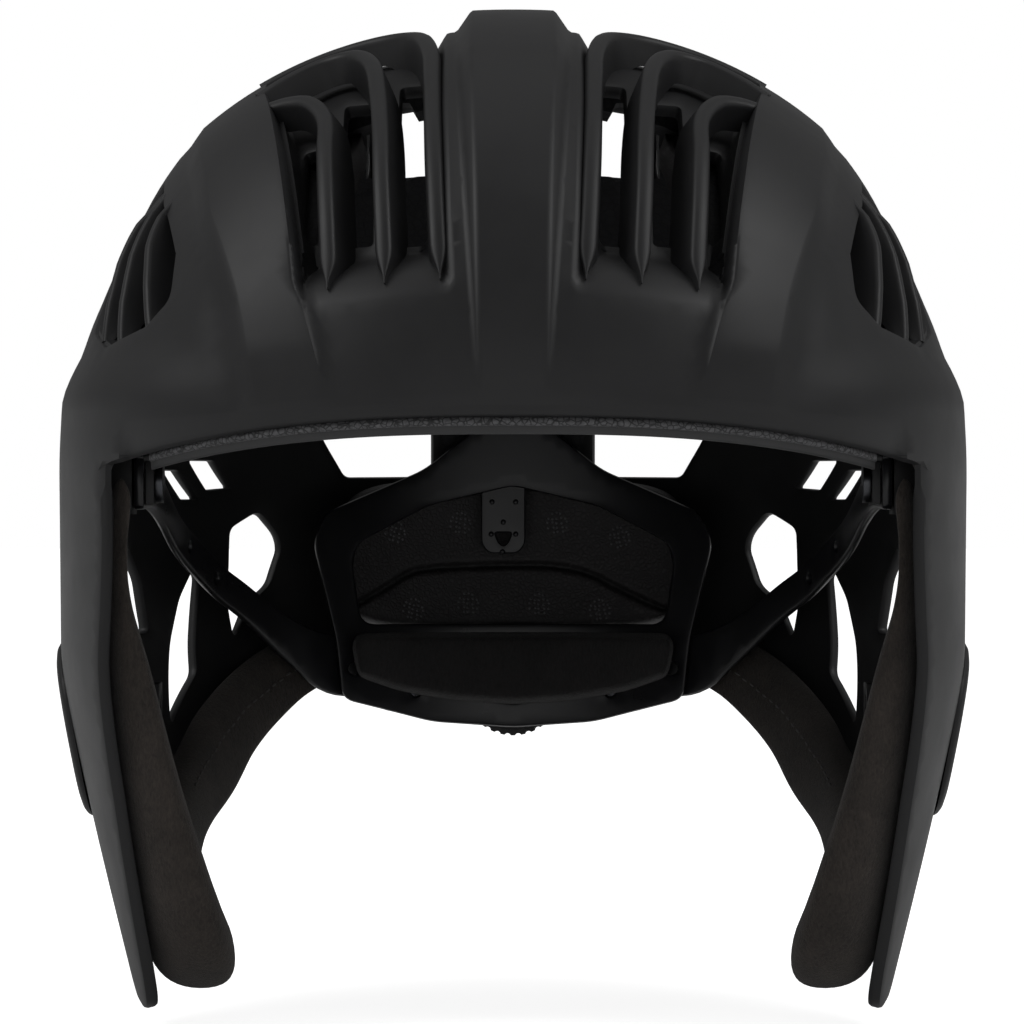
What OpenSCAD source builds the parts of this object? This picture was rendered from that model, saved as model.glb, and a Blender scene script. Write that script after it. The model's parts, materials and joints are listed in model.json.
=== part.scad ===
/* [Shell] */
// Widest point of the shell, over both sides
shell_w = 204; // [198:1:210]
// Reach of the shell ahead of the ear line
shell_front = 118; // [115:1:121]
// Reach of the shell behind the ear line
shell_rear = 122; // [119:1:126]
// Height of the widest level above the ear line
level_z = 50; // [48:1:52]
// Rise of the dome above the widest level, without the crest
crown_h = 103; // [100:1:106]
// Wall of the moulded shell
wall = 3; // [2.4:0.1:3.6]
// Height of the brow edge at the middle
brow_z = 63.5; // [62:0.1:65]
// Height of the rolled lip above the brow edge at the middle
lip_h = 2.3; // [1.5:0.1:3]
// Depth of the ear guards below the ear line
guard_drop = 66.5; // [63:0.5:70]

/* [Crest, vents and ridges] */
// Width of the flat top of the crest
crest_w = 18.8; // [16:0.4:21]
// Height of the crest over the dome
crest_h = 4.6; // [3:0.2:6]
// Depth of the vent bays under the dome
bay_depth = 9; // [7:0.5:10]
// Thickness of a vent fin
fin_t = 4; // [3:0.2:5]
// Thickness of a side louvre
louvre_t = 3.2; // [2.6:0.2:4]

/* [Liner and pads] */
// Thickness of the foam liner
liner_t = 12; // [10:0.5:13]
// Thickness of the brow and crown pads
pad_t = 5; // [4:0.5:6]
// Thickness of the ear pads at the cheek lobe
cheek_t = 20; // [16:1:22]
// Gap between pieces that are seated on each other
seat_gap = 0.3; // [0.2:0.05:0.4]

/* [Ear covers] */
// Length of the ear opening in each guard
ear_l = 52; // [46:1:54]
// Height of the ear opening in each guard
ear_h = 34; // [30:1:36]
// How far an ear cover stands proud of the guard
cover_proud = 2; // [1.5:0.1:2.4]

/* [Fit system] */
// Thickness of the fit arms and the yoke
arm_t = 2.2; // [1.8:0.1:2.6]
// Height of the arm tabs at the temples
tab_h = 12; // [11.5:0.5:14]
// Tightening travel of the cradle
fit_travel = 12; // [8:1:14]
// Diameter of the temple pins
pin_d = 4; // [3.5:0.1:4.5]
// Radial running clearance of pins and spindles
run_gap = 0.05; // [0.03:0.01:0.08]
// Diameter of the fit dial over its knurls
dial_d = 25; // [23:0.5:27]
// Thickness of the fit dial
dial_t = 9; // [7:0.5:10]
// How far the dial pulls out to let the fit go
release_travel = 3; // [2:0.5:3]
// Diameter of the spool's drum
drum_d = 14; // [12:0.5:15]

/* [Hidden] */

// The dome is a superellipsoid: this exponent squares its three outlines a little
form_n = 2.2;
// Facets around and up the dome, and up the skirt below it
ring_n = 44;
dome_n = 9;
skirt_n = 4;
skirt_z = -84;

function mix(a, b, t) = a + (b - a) * t;
function flip(pts) = [for (i = [len(pts) - 1:-1:0]) pts[i]];

// How far the skirt leans in towards the jaw, and the nape towards the neck
lean_z = 14;
function lean(z) = z < lean_z ? 0.27 * pow(lean_z - z, 2) / (lean_z - z + 24) : 0;
function nape(z) = z < level_z ? 0.0035 * pow(level_z - z, 2) : 0;

// What is left of a unit radius when the shares p and q are spent on the other two axes
function rest(p, q = 0) = pow(max(0, 1 - pow(abs(p), form_n) - pow(abs(q), form_n)), 1 / form_n);

// Half axes of the form, d under its surface, at the height z
function half_x(z, d) = shell_w / 2 - d - lean(z);
function half_y(z, d, front) = (front ? shell_front : shell_rear - nape(z)) - d;
function rise(z, d) = max(0, z - level_z) / (crown_h - d);

// Points of the form, d under its surface: on a side wall, on the front or rear wall, and on the
// dome at a distance x from the middle and an angle t from the front level line over the top
function side_pt(y, z, d, s = 1) = [s * half_x(z, d) * rest(y / half_y(z, d, y < 0), rise(z, d)), y, z];
function front_pt(x, z, d) = [x, -half_y(z, d, true) * rest(x / half_x(z, d), rise(z, d)), z];
function rear_pt(x, z, d) = [x, half_y(z, d, false) * rest(x / half_x(z, d), rise(z, d)), z];
function dome_pt(x, t, d) =
    let (f = rest(x / (shell_w / 2 - d)), c = cos(t), p = 2 / form_n)
    [x,
     -sign(c) * (c > 0 ? shell_front - d : shell_rear - d) * f * pow(abs(c), p),
     level_z + (crown_h - d) * f * pow(sin(t), p)];

// One ring of the form at the height z and scale k, and the whole form as a closed solid
function ring(z, k, d) = [for (i = [0:ring_n - 1])
    let (w = 360 * i / ring_n, c = cos(w), s = sin(w), p = 2 / form_n)
    [half_x(z, d) * k * sign(c) * pow(abs(c), p),
     half_y(z, d, s < 0) * k * sign(s) * pow(abs(s), p), z]];

// A point on a lattice fine enough for a mould, and a solid lofted through rings of equal length
lattice = 0.05;
function snap(p) = [for (c = p) round(c / lattice) * lattice];
module loft(rings) {
    n = len(rings[0]);
    m = len(rings);
    polyhedron(
        [for (r = rings) for (p = r) snap(p)],
        concat(
            [[for (i = [0:n - 1]) i]],
            [for (j = [0:m - 2]) for (i = [0:n - 1])
                let (a = j * n + i, b = j * n + (i + 1) % n) each [[a, a + n, b], [b, a + n, b + n]]],
            [[for (i = [n - 1:-1:0]) (m - 1) * n + i]]));
}

module form(d) {
    loft(concat(
        [for (j = [0:skirt_n - 1]) ring(mix(skirt_z, level_z, j / skirt_n), 1, d)],
        [for (j = [0:dome_n]) let (t = 88 * j / dome_n, p = 2 / form_n)
            [for (q = ring(level_z, pow(cos(t), p), d)) [q.x, q.y, level_z + (crown_h - d) * pow(sin(t), p)]]]));
}

// Extrusions of outlines drawn in the side view (y, z) and in the front view (x, z)
module along_x(x0, x1) translate([x0, 0, 0]) rotate([90, 0, 90]) linear_extrude(x1 - x0) children();
module along_y(y0, y1) translate([0, y1, 0]) rotate([90, 0, 0]) linear_extrude(y1 - y0) children();
module both() {
    children();
    mirror([1, 0, 0]) children();
}

// Brim: its edge seen from the front drops towards the temples
temple_x = 82;
guard_top_y = -66;
function brim_z(x) = brow_z - 5.5e-5 * pow(abs(x), 2.7);
function crease_z(x) = brow_z + lip_h - 4.5e-6 * pow(abs(x), 3);

// Ear guard outline in the side view, from the temple down to the tip and up to the nape
tip_y = -38;
guard_front = [[guard_top_y, 58], [-65, 30], [-61, 0], [-55.5, -30], [-49, -guard_drop + 9], [-45, -guard_drop + 2.5]];
guard_rear = [[tip_y, -guard_drop], [-28, -guard_drop + 1], [-14, -guard_drop + 8], [6, -46], [30, -36.5],
              [55, -27], [77, -13], [92, -2], [103, 7], [112, 14], [120, 16]];

module shell_side() {
    polygon(concat(guard_front, guard_rear, [[140, 16], [140, 175], [-140, 175], [-140, 58]]));
}
module brim_cut() {
    polygon(concat([[-120, -90], [-120, brim_z(100)]], [for (x = [-96:12:96]) [x, brim_z(x)]], [[120, -90]]));
}

// Lines that run over the dome: their distance from the middle at an angle t
crest_line = [[10, 0.76 * crest_w / 2], [60, crest_w / 2]];
ridge_in = [[9, 39], [24, 46], [70, 55], [90, 55.5]];
ridge_out = [[9, 54], [24, 58.4], [40, 65], [60, 69], [90, 70]];

// Vent bay: a block lofted over the dome, from its sloped sill to the crown; grow adds a margin all round
bay_gap = 5.5;
bay_slope = 0.61;
sill_t = 22.5;
floor_t = 27.5;
channel_t = 140;
margin_t = 0.6;
bay_stations = [[sill_t, -1], [floor_t, 1], [36, 1], [44, 1], [52, 1], [60, 0.95], [68, 0.8], [76, 0.65],
                [84, 0.55], [94, 0.5], [106, 0.5], [118, 0.5], [130, 0.45], [channel_t, 0.35], [channel_t + 10, -1]];
function bay_section(t, depth, grow) =
    let (xi = lookup(t, crest_line) + bay_gap - grow, xo = lookup(t, ridge_in) + grow, up = crest_h + 1.5)
    [dome_pt(xi + 1, t, depth), dome_pt(xi - 0.6, t, -up), dome_pt(xo + bay_slope * up, t, -up), dome_pt(xo - bay_slope * depth, t, depth)];
module vent_bay(grow) both() loft([for (s = bay_stations)
    bay_section(s[0] + (s[0] < 50 ? -1 : 1) * margin_t * grow, s[1] < 0 ? -1 : bay_depth * s[1] + grow, grow)]);

// Outward normal of the dome
function dome_n_at(p) = let (q = form_n - 1,
    v = [sign(p.x) * pow(abs(p.x) / (shell_w / 2), q) / (shell_w / 2),
         sign(p.y) * pow(abs(p.y) / (p.y < 0 ? shell_front : shell_rear), q) / (p.y < 0 ? shell_front : shell_rear),
         pow(max(0, p.z - level_z) / crown_h, q) / crown_h]) v / norm(v);

// Blade lofted along points of the dome: round in front, as deep as its list of depths says
module blade(path, depths, t) loft([for (i = [0:len(path) - 1])
    let (a = path[max(0, i - 1)], b = path[min(len(path) - 1, i + 1)], n = dome_n_at(path[i]),
         w = cross(n, b - a), u = w / norm(w), h = t / 2, d = depths[i])
    [for (q = [[-1, -d], [1, -d], [1, -0.35 * t], [0.55, -0.08 * t], [-0.55, -0.08 * t], [-1, -0.35 * t]])
        path[i] + u * q[0] * h + n * q[1]]]);

// Fin lines: distance from the middle and angle, from the foot on the sill to the end in the ridge
fin_lines = [
    [[17.6, 23.2], [18, 28], [18.1, 38], [18.2, 48], [18.2, 58], [18.6, 67], [21.4, 75], [28, 79.5], [38, 81.5], [47, 81.5], [54, 81]],
    [[27.2, 23.2], [27.6, 28], [28.2, 38], [28.7, 48], [29.6, 57], [31.2, 65.5], [35, 71.5], [41, 73.8], [47.5, 73], [54, 71]],
    [[38.2, 23.6], [38.4, 28], [38.8, 37], [39.4, 46], [41.2, 53.5], [45, 59.5], [49.5, 62], [53.4, 63]]];
fin_root = 0.8;
fin_arm = 6.2;
function fin_depth(x, t, last) = t < 24 ? 2.2 : last ? 4.4 : mix(bay_depth + fin_root, fin_arm, min(1, max(0, (x[1] - 60) / 12)));
fin_stand = 1.8;
module fin(i) blade([for (q = fin_lines[i]) dome_pt(q[0], q[1], 0.2 - fin_stand * min(1, max(0, (q[1] - 52) / 20)))],
    [for (j = [0:len(fin_lines[i]) - 1]) let (q = fin_lines[i][j])
        j == 0 ? 2.2 : j == len(fin_lines[i]) - 1 ? 4.2 : j > len(fin_lines[i]) - 5 ? fin_arm : bay_depth + fin_root], fin_t);

// Side louvres: a bay in the side view, and blades that cross it from foot to top
louvre_depth = 7;
louvre_in = 60;
louvre_bay = [[-69.5, 84], [-73.5, 89.7], [-72, 93], [-66, 101.5], [-59, 109.3], [-46.5, 118], [-30, 121], [-22, 112], [-22, 96], [-34, 84], [-52, 80]];
louvre_lines = [
    [[-70, 83.5], [-63, 92.8], [-54.5, 102], [-49, 109], [-44, 119]],
    [[-58.5, 80.6], [-53, 90], [-46, 100], [-40, 110], [-35, 120.5]],
    [[-45.5, 81.4], [-42, 90], [-36, 99], [-31, 108], [-27.5, 119]]];
module louvre(i) blade([for (q = louvre_lines[i]) side_pt(q.x, q.y, 0.2)], [1.6, louvre_depth + 0.8, louvre_depth + 0.8, louvre_depth + 0.8, 1.6], louvre_t);

// Air ways through the bay floors: between the fins in the front view, and between the louvres in the side view
air_z = [100, 130];
air_x = [[18.2, 24.2], [29.6, 36], [41.4, 44.2]];
module air_way(x0, x1, grow = 0) along_y(-140, -38) offset(delta = grow)
    polygon([[x0, air_z[0]], [x1, air_z[0] - 0.5], [x1 + 0.3, air_z[1] - 0.25 * x1], [x0 + 0.3, air_z[1] - 0.25 * x0]]);
module side_air_ways(grow = 0) for (i = [0:1]) along_x(40, 120) offset(delta = grow) polygon([for (q = [[1, 0.35], [1, 0.65], [3, 0.65], [3, 0.35]])
    mix(louvre_lines[i][q[0]], louvre_lines[i + 1][q[0]], q[1])]);

// Rear vents: two low windows, two crown vents and three windows in each rear side wall
rear_window = [[19.5, 52], [42, 52], [46, 57], [42.5, 69], [19.5, 69]];
crown_vent = [[20, 126], [33, 125], [31, 141], [20, 142.5]];
side_windows = [[[40, 17], [52, 15], [56, 33], [42, 36]],
                [[66, -8], [74, -5], [82, 27], [72, 31]],
                [[87, 14], [95, 16], [101, 26], [100, 42], [88, 44], [83, 36]]];
side_slots = [[[68.7, 52], [72.6, 52], [75.3, 47.5], [74, 47.5]], [[75, 52], [76.8, 52], [82, 47], [79.4, 47]],
              [[86.6, 52], [91.6, 52], [93.4, 49.4], [89.8, 49]]];
module windows() {
    for (w = side_slots) both() along_x(20, 120) polygon(w);
    both() along_y(60, 140) polygon(rear_window);
    both() along_y(20, 120) polygon(crown_vent);
    for (w = side_windows) both() along_x(20, 120) offset(r = 2) offset(delta = -2) polygon(w);
}

// Ear opening in the side view: a long rounded form behind the guard's front edge
ear_c = [4, -6];
function ear_ring(k = 1, grow = 0) = [for (w = [0:15:345])
    [ear_c.x + (ear_l / 2 * k + grow) * sign(cos(w)) * pow(abs(cos(w)), 0.8),
     ear_c.y + (ear_h / 2 * k + grow) * sign(sin(w)) * pow(abs(sin(w)), 0.8)]];

// Crest and side ridges: lofts over the dome, each station a section from foot to foot
crest_foot = 3.4;
module crest() loft([for (t = [9:9:162])
    let (h = crest_h * pow(min(1, (t - 5) / 55), 0.7) * min(1, (172 - t) / 40), w = lookup(t, crest_line), f = w + crest_foot * h / crest_h + 0.8)
    [dome_pt(-f, t, 1.2), dome_pt(-w, t, -h), dome_pt(w, t, -h), dome_pt(f, t, 1.2), dome_pt(w, t, 2.4), dome_pt(-w, t, 2.4)]]);
ridge_rise = 2.2;
module side_ridge() loft([for (t = [11:8:107])
    let (xi = lookup(t, ridge_in), xo = lookup(t, ridge_out), h = ridge_rise * min(0.65 + t / 170, 1) * min(1, (t - 7) / 16) * min(1, (112 - t) / 30))
    [dome_pt(xi, t, -h), dome_pt(xo, t, -h), dome_pt(xo + 4, t, 1), dome_pt(xo, t, 2.2), dome_pt(xi, t, 2.2)]]);

// Rolled lip: the brim's edge is drawn in below a crease that runs from temple to temple
lip_in = 1.9;
module brim_roll() loft([for (x = [-90:7.5:90])
    [front_pt(x, crease_z(x), 0), front_pt(x, crease_z(x) + 0.5, -3), front_pt(x, brim_z(x) - 3, -3), front_pt(x, brim_z(x) - 3, lip_in)]]);

module louvre_bays(grow = 0) both() difference() {
    along_x(louvre_in - grow, 120) offset(delta = grow) polygon(louvre_bay);
    form(louvre_depth + grow);
}

// The shell is one wall thick everywhere, and its wall dips round the bays
module outer_shell() color("#202022") {
    difference() {
        union() {
            intersection() {
                form(0);
                along_x(-120, 120) shell_side();
            }
            crest();
            both() side_ridge();
        }
        difference() {
            form(wall);
            vent_bay(wall);
            louvre_bays(wall);
        }
        vent_bay(0);
        louvre_bays();
        both() for (a = air_x) air_way(a[0], a[1]);
        both() side_air_ways();
        along_y(-140, guard_top_y) brim_cut();
        brim_roll();
        windows();
        both() along_x(40, 120) polygon(ear_ring());
    }
    both() for (i = [0:2]) fin(i);
    both() for (i = [0:2]) louvre(i);
}

// Seat on the shell's wall: the facets of the wall take a little of the gap
wall_gap = seat_gap + 0.75;

// Edge trim inside the brim: a bead that stands below the shell's edge, and a lower skirt behind it
trim_show = 2.1;
skirt_show = 3.8;
trim_in = wall + wall_gap;
module brim_trim() color("#3a3a3c") {
    loft([for (x = [-78:6:78]) let (z = brim_z(x))
        [front_pt(x, z + 4, trim_in), front_pt(x, z - trim_show + 0.6, trim_in), front_pt(x, z - trim_show, trim_in + 0.8),
         front_pt(x, z - trim_show, trim_in + 2.8), front_pt(x, z - skirt_show, trim_in + 3.4), front_pt(x, z - skirt_show, trim_in + 5.6),
         front_pt(x, z + 4, trim_in + 6)]]);
}

// Foam liner: a dome inside the shell, opened behind the bays and grooved by air channels
liner_out = wall + seat_gap;
liner_in = liner_out + liner_t;
channel_r = 4.5;
hanger_w = 12;
liner_side = [[-140, 71.2], [-92, 68.2], [-72, 63.4], [-64, 60.8], [-30, 53], [140, 53], [140, 175], [-140, 175]];
module channel(x, ts) for (i = [0:len(ts) - 2]) hull() {
    translate(dome_pt(x, ts[i], liner_in)) sphere(r = channel_r, $fn = 6);
    translate(dome_pt(x, ts[i + 1], liner_in)) sphere(r = channel_r, $fn = 6);
}
module foam_liner() color("#2b2b2c") difference() {
    intersection() {
        form(liner_out);
        along_x(-120, 120) polygon(liner_side);
    }
    form(liner_in);
    vent_bay(liner_out);
    louvre_bays(liner_out);
    both() air_way(air_x[0][0], air_x[1][1], 2);
    both() side_air_ways(1);
    both() along_y(60, 140) offset(delta = 1.8) polygon(rear_window);
    both() along_y(20, 120) offset(delta = 1.8) polygon(crown_vent);
    both() channel(26, [60, 80, 100, 120]);
    both() channel(58, [50, 75, 100, 125]);
    both() along_x(40, 120) polygon([[-68, 40], [-24, 40], [-24, 62], [-68, 64]]);
    along_y(60, 140) polygon([[-hanger_w, 40], [hanger_w, 40], [hanger_w, 76], [-hanger_w, 76]]);
}

// A cushion laid on a wall: rings of its outline shrink as they rise, so the sides draw in and the top
// is crowned. The map turns a plan point (p, q) and a depth d into a point in space.
function cushion_rings(c, half, map, base, t, n = 28, sq = 0.7, bow = 0) = [
    for (r = [[0.25, 0.98], [0.93, 0.98], [0.985, 0.8], [1, 0.5], [0.985, 0.2], [0.93, 0.02], [0.25, 0]])
        let (k = r[0], h = 1 - r[1])
        [for (i = [0:n - 1]) let (w = 360 * i / n, x = cos(w), y = sin(w),
            u = half.x * k * sign(x) * pow(abs(x), sq), v = half.y * k * sign(y) * pow(abs(y), sq))
            map(c.x + u, c.y + v + bow * (u * u) / (half.x * half.x), base + t * (1 - h * 1))]];
module cushion(c, half, map, base, t, n = 28, sq = 0.7, bow = 0, behind = false) {
    rings = cushion_rings(c, half, map, base, t, n, sq, bow);
    loft(behind ? [for (r = rings) flip(r)] : rings);
}

pad_base = liner_in + wall_gap;
brow_pad_z = brow_z + 10.5;
brow_half = [58, 9];
brow_bow = -6;
module brow_pad() color("#242222")
    cushion([0, brow_pad_z], brow_half, function(x, z, d) front_pt(x, z, d), pad_base, pad_t, 40, 0.55, brow_bow);
crown_mid = [0, 92];
crown_half = [12, 34];
crown_side = [42, 92];
crown_side_half = [9, 28];
module crown_pads() color("#242222") {
    cushion(crown_mid, crown_half, function(p, t, d) dome_pt(p, t, d), pad_base, pad_t, 24, 0.6);
    for (s = [-1, 1]) cushion([s * crown_side.x, crown_side.y], crown_side_half,
                              function(p, t, d) dome_pt(p, t, d), pad_base, pad_t, 24, 0.6);
}
nape_base = wall + wall_gap + 1;
nape_low = dial_d / 2 + 1.6;
nape_top = level_z + 1.8;
nape_half = 44;
nape_t = 6.5;
module nape_pad() color("#242222")
    cushion([0, mix(nape_low, nape_top, 0.5)], [nape_half, (nape_top - nape_low) / 2],
            function(x, z, d) rear_pt(x, z, d), nape_base, nape_t, 36, 0.5, 0, true);

// Ear pad: a cushion swept along a U below the ear, thin beside the cheek's front and full at the lobe
ear_pad_path = [[-51, 38], [-53, 22], [-52, 2], [-49, -20], [-44.5, -40], [-36, -52], [-21, -52], [-4, -46], [14, -38], [34, -29],
                [54, -20], [68, -10.5], [79, -3], [87, 2.6], [94, 7.4], [100, 12]];
ear_pad_w = [9, 15, 16, 17, 20, 23, 23, 20, 16, 15, 15, 14, 13, 12, 11, 8];
ear_pad_d = [0.3, 0.42, 0.5, 0.6, 0.8, 1, 1, 0.9, 0.75, 0.62, 0.5, 0.4, 0.33, 0.28, 0.26, 0.18];
function heading(path, i) = let (a = path[max(0, i - 1)], b = path[min(len(path) - 1, i + 1)], v = b - a) v / norm(v);
function ear_pad_ring(i, s) = let (p = ear_pad_path[i], h = heading(ear_pad_path, i), nrm = [-h.y, h.x],
    w = ear_pad_w[i] / 2, t = cheek_t * ear_pad_d[i])
    [for (k = [0:15]) let (a = 22.5 * k, c = cos(a), q = sin(a),
        off = w * sign(c) * pow(abs(c), 0.7), up = (1 + sign(q) * pow(abs(q), 0.8)) / 2, pt = p + nrm * off)
        side_pt(pt.x, pt.y, wall + wall_gap + 0.25 + t * up, s)];
module ear_pad(s) loft([for (i = [0:len(ear_pad_path) - 1]) s > 0 ? flip(ear_pad_ring(i, s)) : ear_pad_ring(i, s)]);
module ear_pad_left() color("#262322") ear_pad(-1);
module ear_pad_right() color("#262322") ear_pad(1);

// Ear cover: a stepped plug on the guard, its flange outside and its spigot in the opening
cover_flange = 3;
cover_fit = 0.5;
function cover_ring(grow, k, d, s) = [for (p = ear_ring(k, grow)) side_pt(p.x, p.y, d, s)];
module ear_cover(s) {
    rings = [for (r = [[-cover_fit, 0.35, wall - 0.4], [-cover_fit, 1, wall - 0.4], [-cover_fit, 1, -seat_gap],
                       [cover_flange, 1, -seat_gap], [cover_flange, 1, -0.6 - seat_gap], [cover_flange - 1.2, 1, -cover_proud],
                       [0, 0.92, -cover_proud], [0, 0.86, -cover_proud + 0.8], [0, 0.35, -cover_proud + 0.8]])
        cover_ring(r[0], r[1], r[2], s)];
    loft([for (r = rings) s > 0 ? r : flip(r)]);
}
module ear_cover_left() color("#1c1c1e") ear_cover(-1);
module ear_cover_right() color("#1c1c1e") ear_cover(1);

// Strap anchors: a plate with a bored eye inside each guard, ahead of and behind the ear
anchor_at = [[-30, 18], [44, -2]];
anchor_w = 12;
eye_d = 4.2;
module strap_anchor(p) {
    front_x = min([for (e = [-6, 6]) for (f = [-5, 5]) side_pt(p.x + e, p.y + f, wall + wall_gap).x]);
    translate([front_x - 3, p.x - anchor_w / 2, p.y - 5]) difference() {
        cube([3, anchor_w, 10]);
        translate([-1, anchor_w / 2, 5]) rotate([0, 90, 0]) cylinder(d = eye_d, h = 5, $fn = 32);
    }
}
module strap_anchors_left() color("#2e2e30") mirror([1, 0, 0]) for (p = anchor_at) strap_anchor(p);
module strap_anchors_right() color("#2e2e30") for (p = anchor_at) strap_anchor(p);

// Temple joint: a boss on the guard wall carries a pin along X; a slider turns on it in the arm's slot
temple_y = -42;
temple_z = 50;
tab_x = shell_w / 2 - 21;
boss_l = 16;
boss_h = 14;
boss_in = tab_x + arm_t + 0.5;
function wall_x(y) = side_pt(y, temple_z, wall + 2 * seat_gap).x;
module temple_anchor() difference() {
    translate([0, 0, temple_z - boss_h / 2]) linear_extrude(boss_h)
        polygon([[boss_in, temple_y - boss_l / 2], [wall_x(temple_y - boss_l / 2), temple_y - boss_l / 2],
                 [wall_x(temple_y + boss_l / 2), temple_y + boss_l / 2], [boss_in, temple_y + boss_l / 2]]);
    translate([boss_in - 1, temple_y, temple_z]) rotate([0, 90, 0]) cylinder(d = pin_d - 0.6, h = 8, $fn = 32);
}
module temple_anchor_left() color("#2a2a2c") mirror([1, 0, 0]) temple_anchor();
module temple_anchor_right() color("#2a2a2c") temple_anchor();

// Shouldered screw: its threaded end sits in the boss, its plain pin carries the slider
slider_l = 9;
slider_h = 6;
slider_head = 2;
screw_head_d = 9;
screw_head_t = 1.6;
screw_grip = 5.6;
slider_in = tab_x - slider_head;
module temple_screw() {
    translate([boss_in, temple_y, temple_z]) rotate([0, 90, 0]) cylinder(d = pin_d - 0.6, h = screw_grip, $fn = 32);
    translate([slider_in - 0.2, temple_y, temple_z]) rotate([0, 90, 0]) cylinder(d = pin_d, h = boss_in - slider_in + 0.2, $fn = 32);
    translate([slider_in - 0.2 - screw_head_t, temple_y, temple_z]) rotate([0, 90, 0]) difference() {
        cylinder(d = screw_head_d, h = screw_head_t, $fn = 48);
        translate([0, 0, -1]) cylinder(d = 3, h = 1.9, $fn = 6);
    }
}
module temple_screws() color("#8c8c8e") both() temple_screw();

module temple_slider() difference() {
    union() {
        translate([tab_x - 0.2, temple_y - slider_l / 2, temple_z - slider_h / 2]) cube([arm_t + 0.4, slider_l, slider_h]);
        translate([slider_in, temple_y - slider_l / 2 - 1.5, temple_z - slider_h / 2 - 1.8]) cube([slider_head - 0.2, slider_l + 3, slider_h + 3.6]);
    }
    translate([slider_in - 1, temple_y, temple_z]) rotate([0, 90, 0]) cylinder(d = pin_d + 2 * run_gap, h = 8, $fn = 32);
}
module temple_slider_left() color("#353537") mirror([1, 0, 0]) temple_slider();
module temple_slider_right() color("#353537") temple_slider();

// Upright axis and inner radius of the yoke on the back of the head
yoke_r = 75;
yoke_back = shell_rear - 19.8;
yoke_y = yoke_back - yoke_r - arm_t;

// Fit arm: a strap that follows a line in plan, cut to its outline in the side view
function on_yoke(x) = [x, yoke_y + sqrt(pow(yoke_r + arm_t + seat_gap, 2) - x * x)];
tab_front = temple_y - slider_l / 2 - 5;
arm_turn = 57;
arm_bend = [[0, 0], [0.16, 0.035], [0.35, 0.11], [0.54, 0.225], [0.72, 0.42], [0.875, 0.69], [1, 1]];
arm_plan = concat([[tab_x, tab_front]], [for (b = arm_bend) [mix(tab_x, arm_turn, b[1]), mix(-20, yoke_y + 51, b[0])]],
    [for (x = [50, 45, 39, 33.5]) on_yoke(x)]);
arm_top = [[tab_front, temple_z + tab_h / 2], [-20, temple_z + tab_h / 2], [0, 51], [19, 43.5], [39.5, 36.6], [52, 31.4], [66, 25.6],
    [80, 17.5], [88, 13.6], [100, 12.6]];
arm_low = [[100, -2.5], [88, -1], [80, 6.5], [66, 16.6], [52, 22.8], [39.5, 27.8], [19, 34.6], [2, 40.6], [-18, temple_z - tab_h / 2],
    [tab_front, temple_z - tab_h / 2]];
function strip(path, t) = concat(path, [for (i = [len(path) - 1:-1:0])
    let (h = heading(path, i)) path[i] + t * [h.y, -h.x]]);
slot_gap = 0.25;
slot_l = slider_l + fit_travel + 2 * slot_gap;
module fit_arm() difference() {
    arm_strap();
    radial(rivet_a, rivet_z, 60, 100) circle(d = rivet_d + 0.2, $fn = 32);
}
module arm_strap() intersection() {
    translate([0, 0, -20]) linear_extrude(100) polygon(strip(arm_plan, arm_t));
    along_x(30, 100) difference() {
        polygon(concat(arm_top, arm_low));
        translate([temple_y - slider_l / 2 - slot_gap, temple_z - slider_h / 2 - slot_gap]) square([slot_l, slider_h + 2 * slot_gap]);
        for (p = [[31, 35.2], [50, 27.6]]) translate(p) circle(d = 2.6, $fn = 24);
    }
}
module fit_arm_left() color("#1b1b1d") mirror([1, 0, 0]) fit_arm();
module fit_arm_right() color("#1b1b1d") fit_arm();

// Yoke: a ring frame on the back of the head, between two upright cylinders
yoke_out = [[7, 66], [22, 54], [46, 43.5], [49, 36], [43.5, 12], [42, -2.5], [20, -8.5], [0, -10]];
yoke_in = [[0, 50], [21, 45], [38, 36], [39.5, 31], [37.7, 17.8], [35.7, 15.8], [0, 15.8]];
function mirror_2d(pts) = concat(pts, [for (i = [len(pts) - 1:-1:0]) [-pts[i].x, pts[i].y]]);
module yoke_band(r0, r1) translate([0, yoke_y, -20]) difference() {
    cylinder(r = r1, h = 100, $fn = 96);
    translate([0, 0, -1]) cylinder(r = r0, h = 102, $fn = 96);
}
// Extrusion square to the yoke at an angle round it, from one radius to another
module radial(a, z, r0, r1) translate([0, yoke_y, z]) rotate([0, 0, -a]) rotate([-90, 0, 0])
    translate([0, 0, r0]) linear_extrude(r1 - r0) children();
dial_z = 0;
spindle_d = 4;
spindle_head = 7;
rivet_a = asin(39 / yoke_r);
rivet_z = 5;
rivet_d = 3;
screw_a = asin(24 / yoke_r);
screw_z = -1;
screw_d = 2.2;
module yoke_frame() color("#1b1b1d") difference() {
    intersection() {
        yoke_band(yoke_r, yoke_r + arm_t);
        along_y(40, 120) difference() {
            polygon(mirror_2d(yoke_out));
            polygon(mirror_2d(yoke_in));
        }
    }
    for (s = [-1, 1]) {
        radial(s * rivet_a, rivet_z, 60, 90) circle(d = rivet_d + 0.2, $fn = 32);
        radial(s * screw_a, screw_z, 60, 90) circle(d = screw_d + 0.2, $fn = 24);
    }
    radial(0, dial_z, 60, 90) circle(d = spindle_head + 0.6, $fn = 32);
}

// Rivets that join the arms to the yoke's lower corners
arm_outer = yoke_r + 2 * arm_t + seat_gap;
module arm_rivets() color("#2e2e30") for (s = [-1, 1]) {
    radial(s * rivet_a, rivet_z, yoke_r + 0.4, arm_outer + 1.4) circle(d = rivet_d, $fn = 32);
    radial(s * rivet_a, rivet_z, arm_outer + 0.2, arm_outer + 1.6) circle(d = 6, $fn = 32);
}

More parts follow.
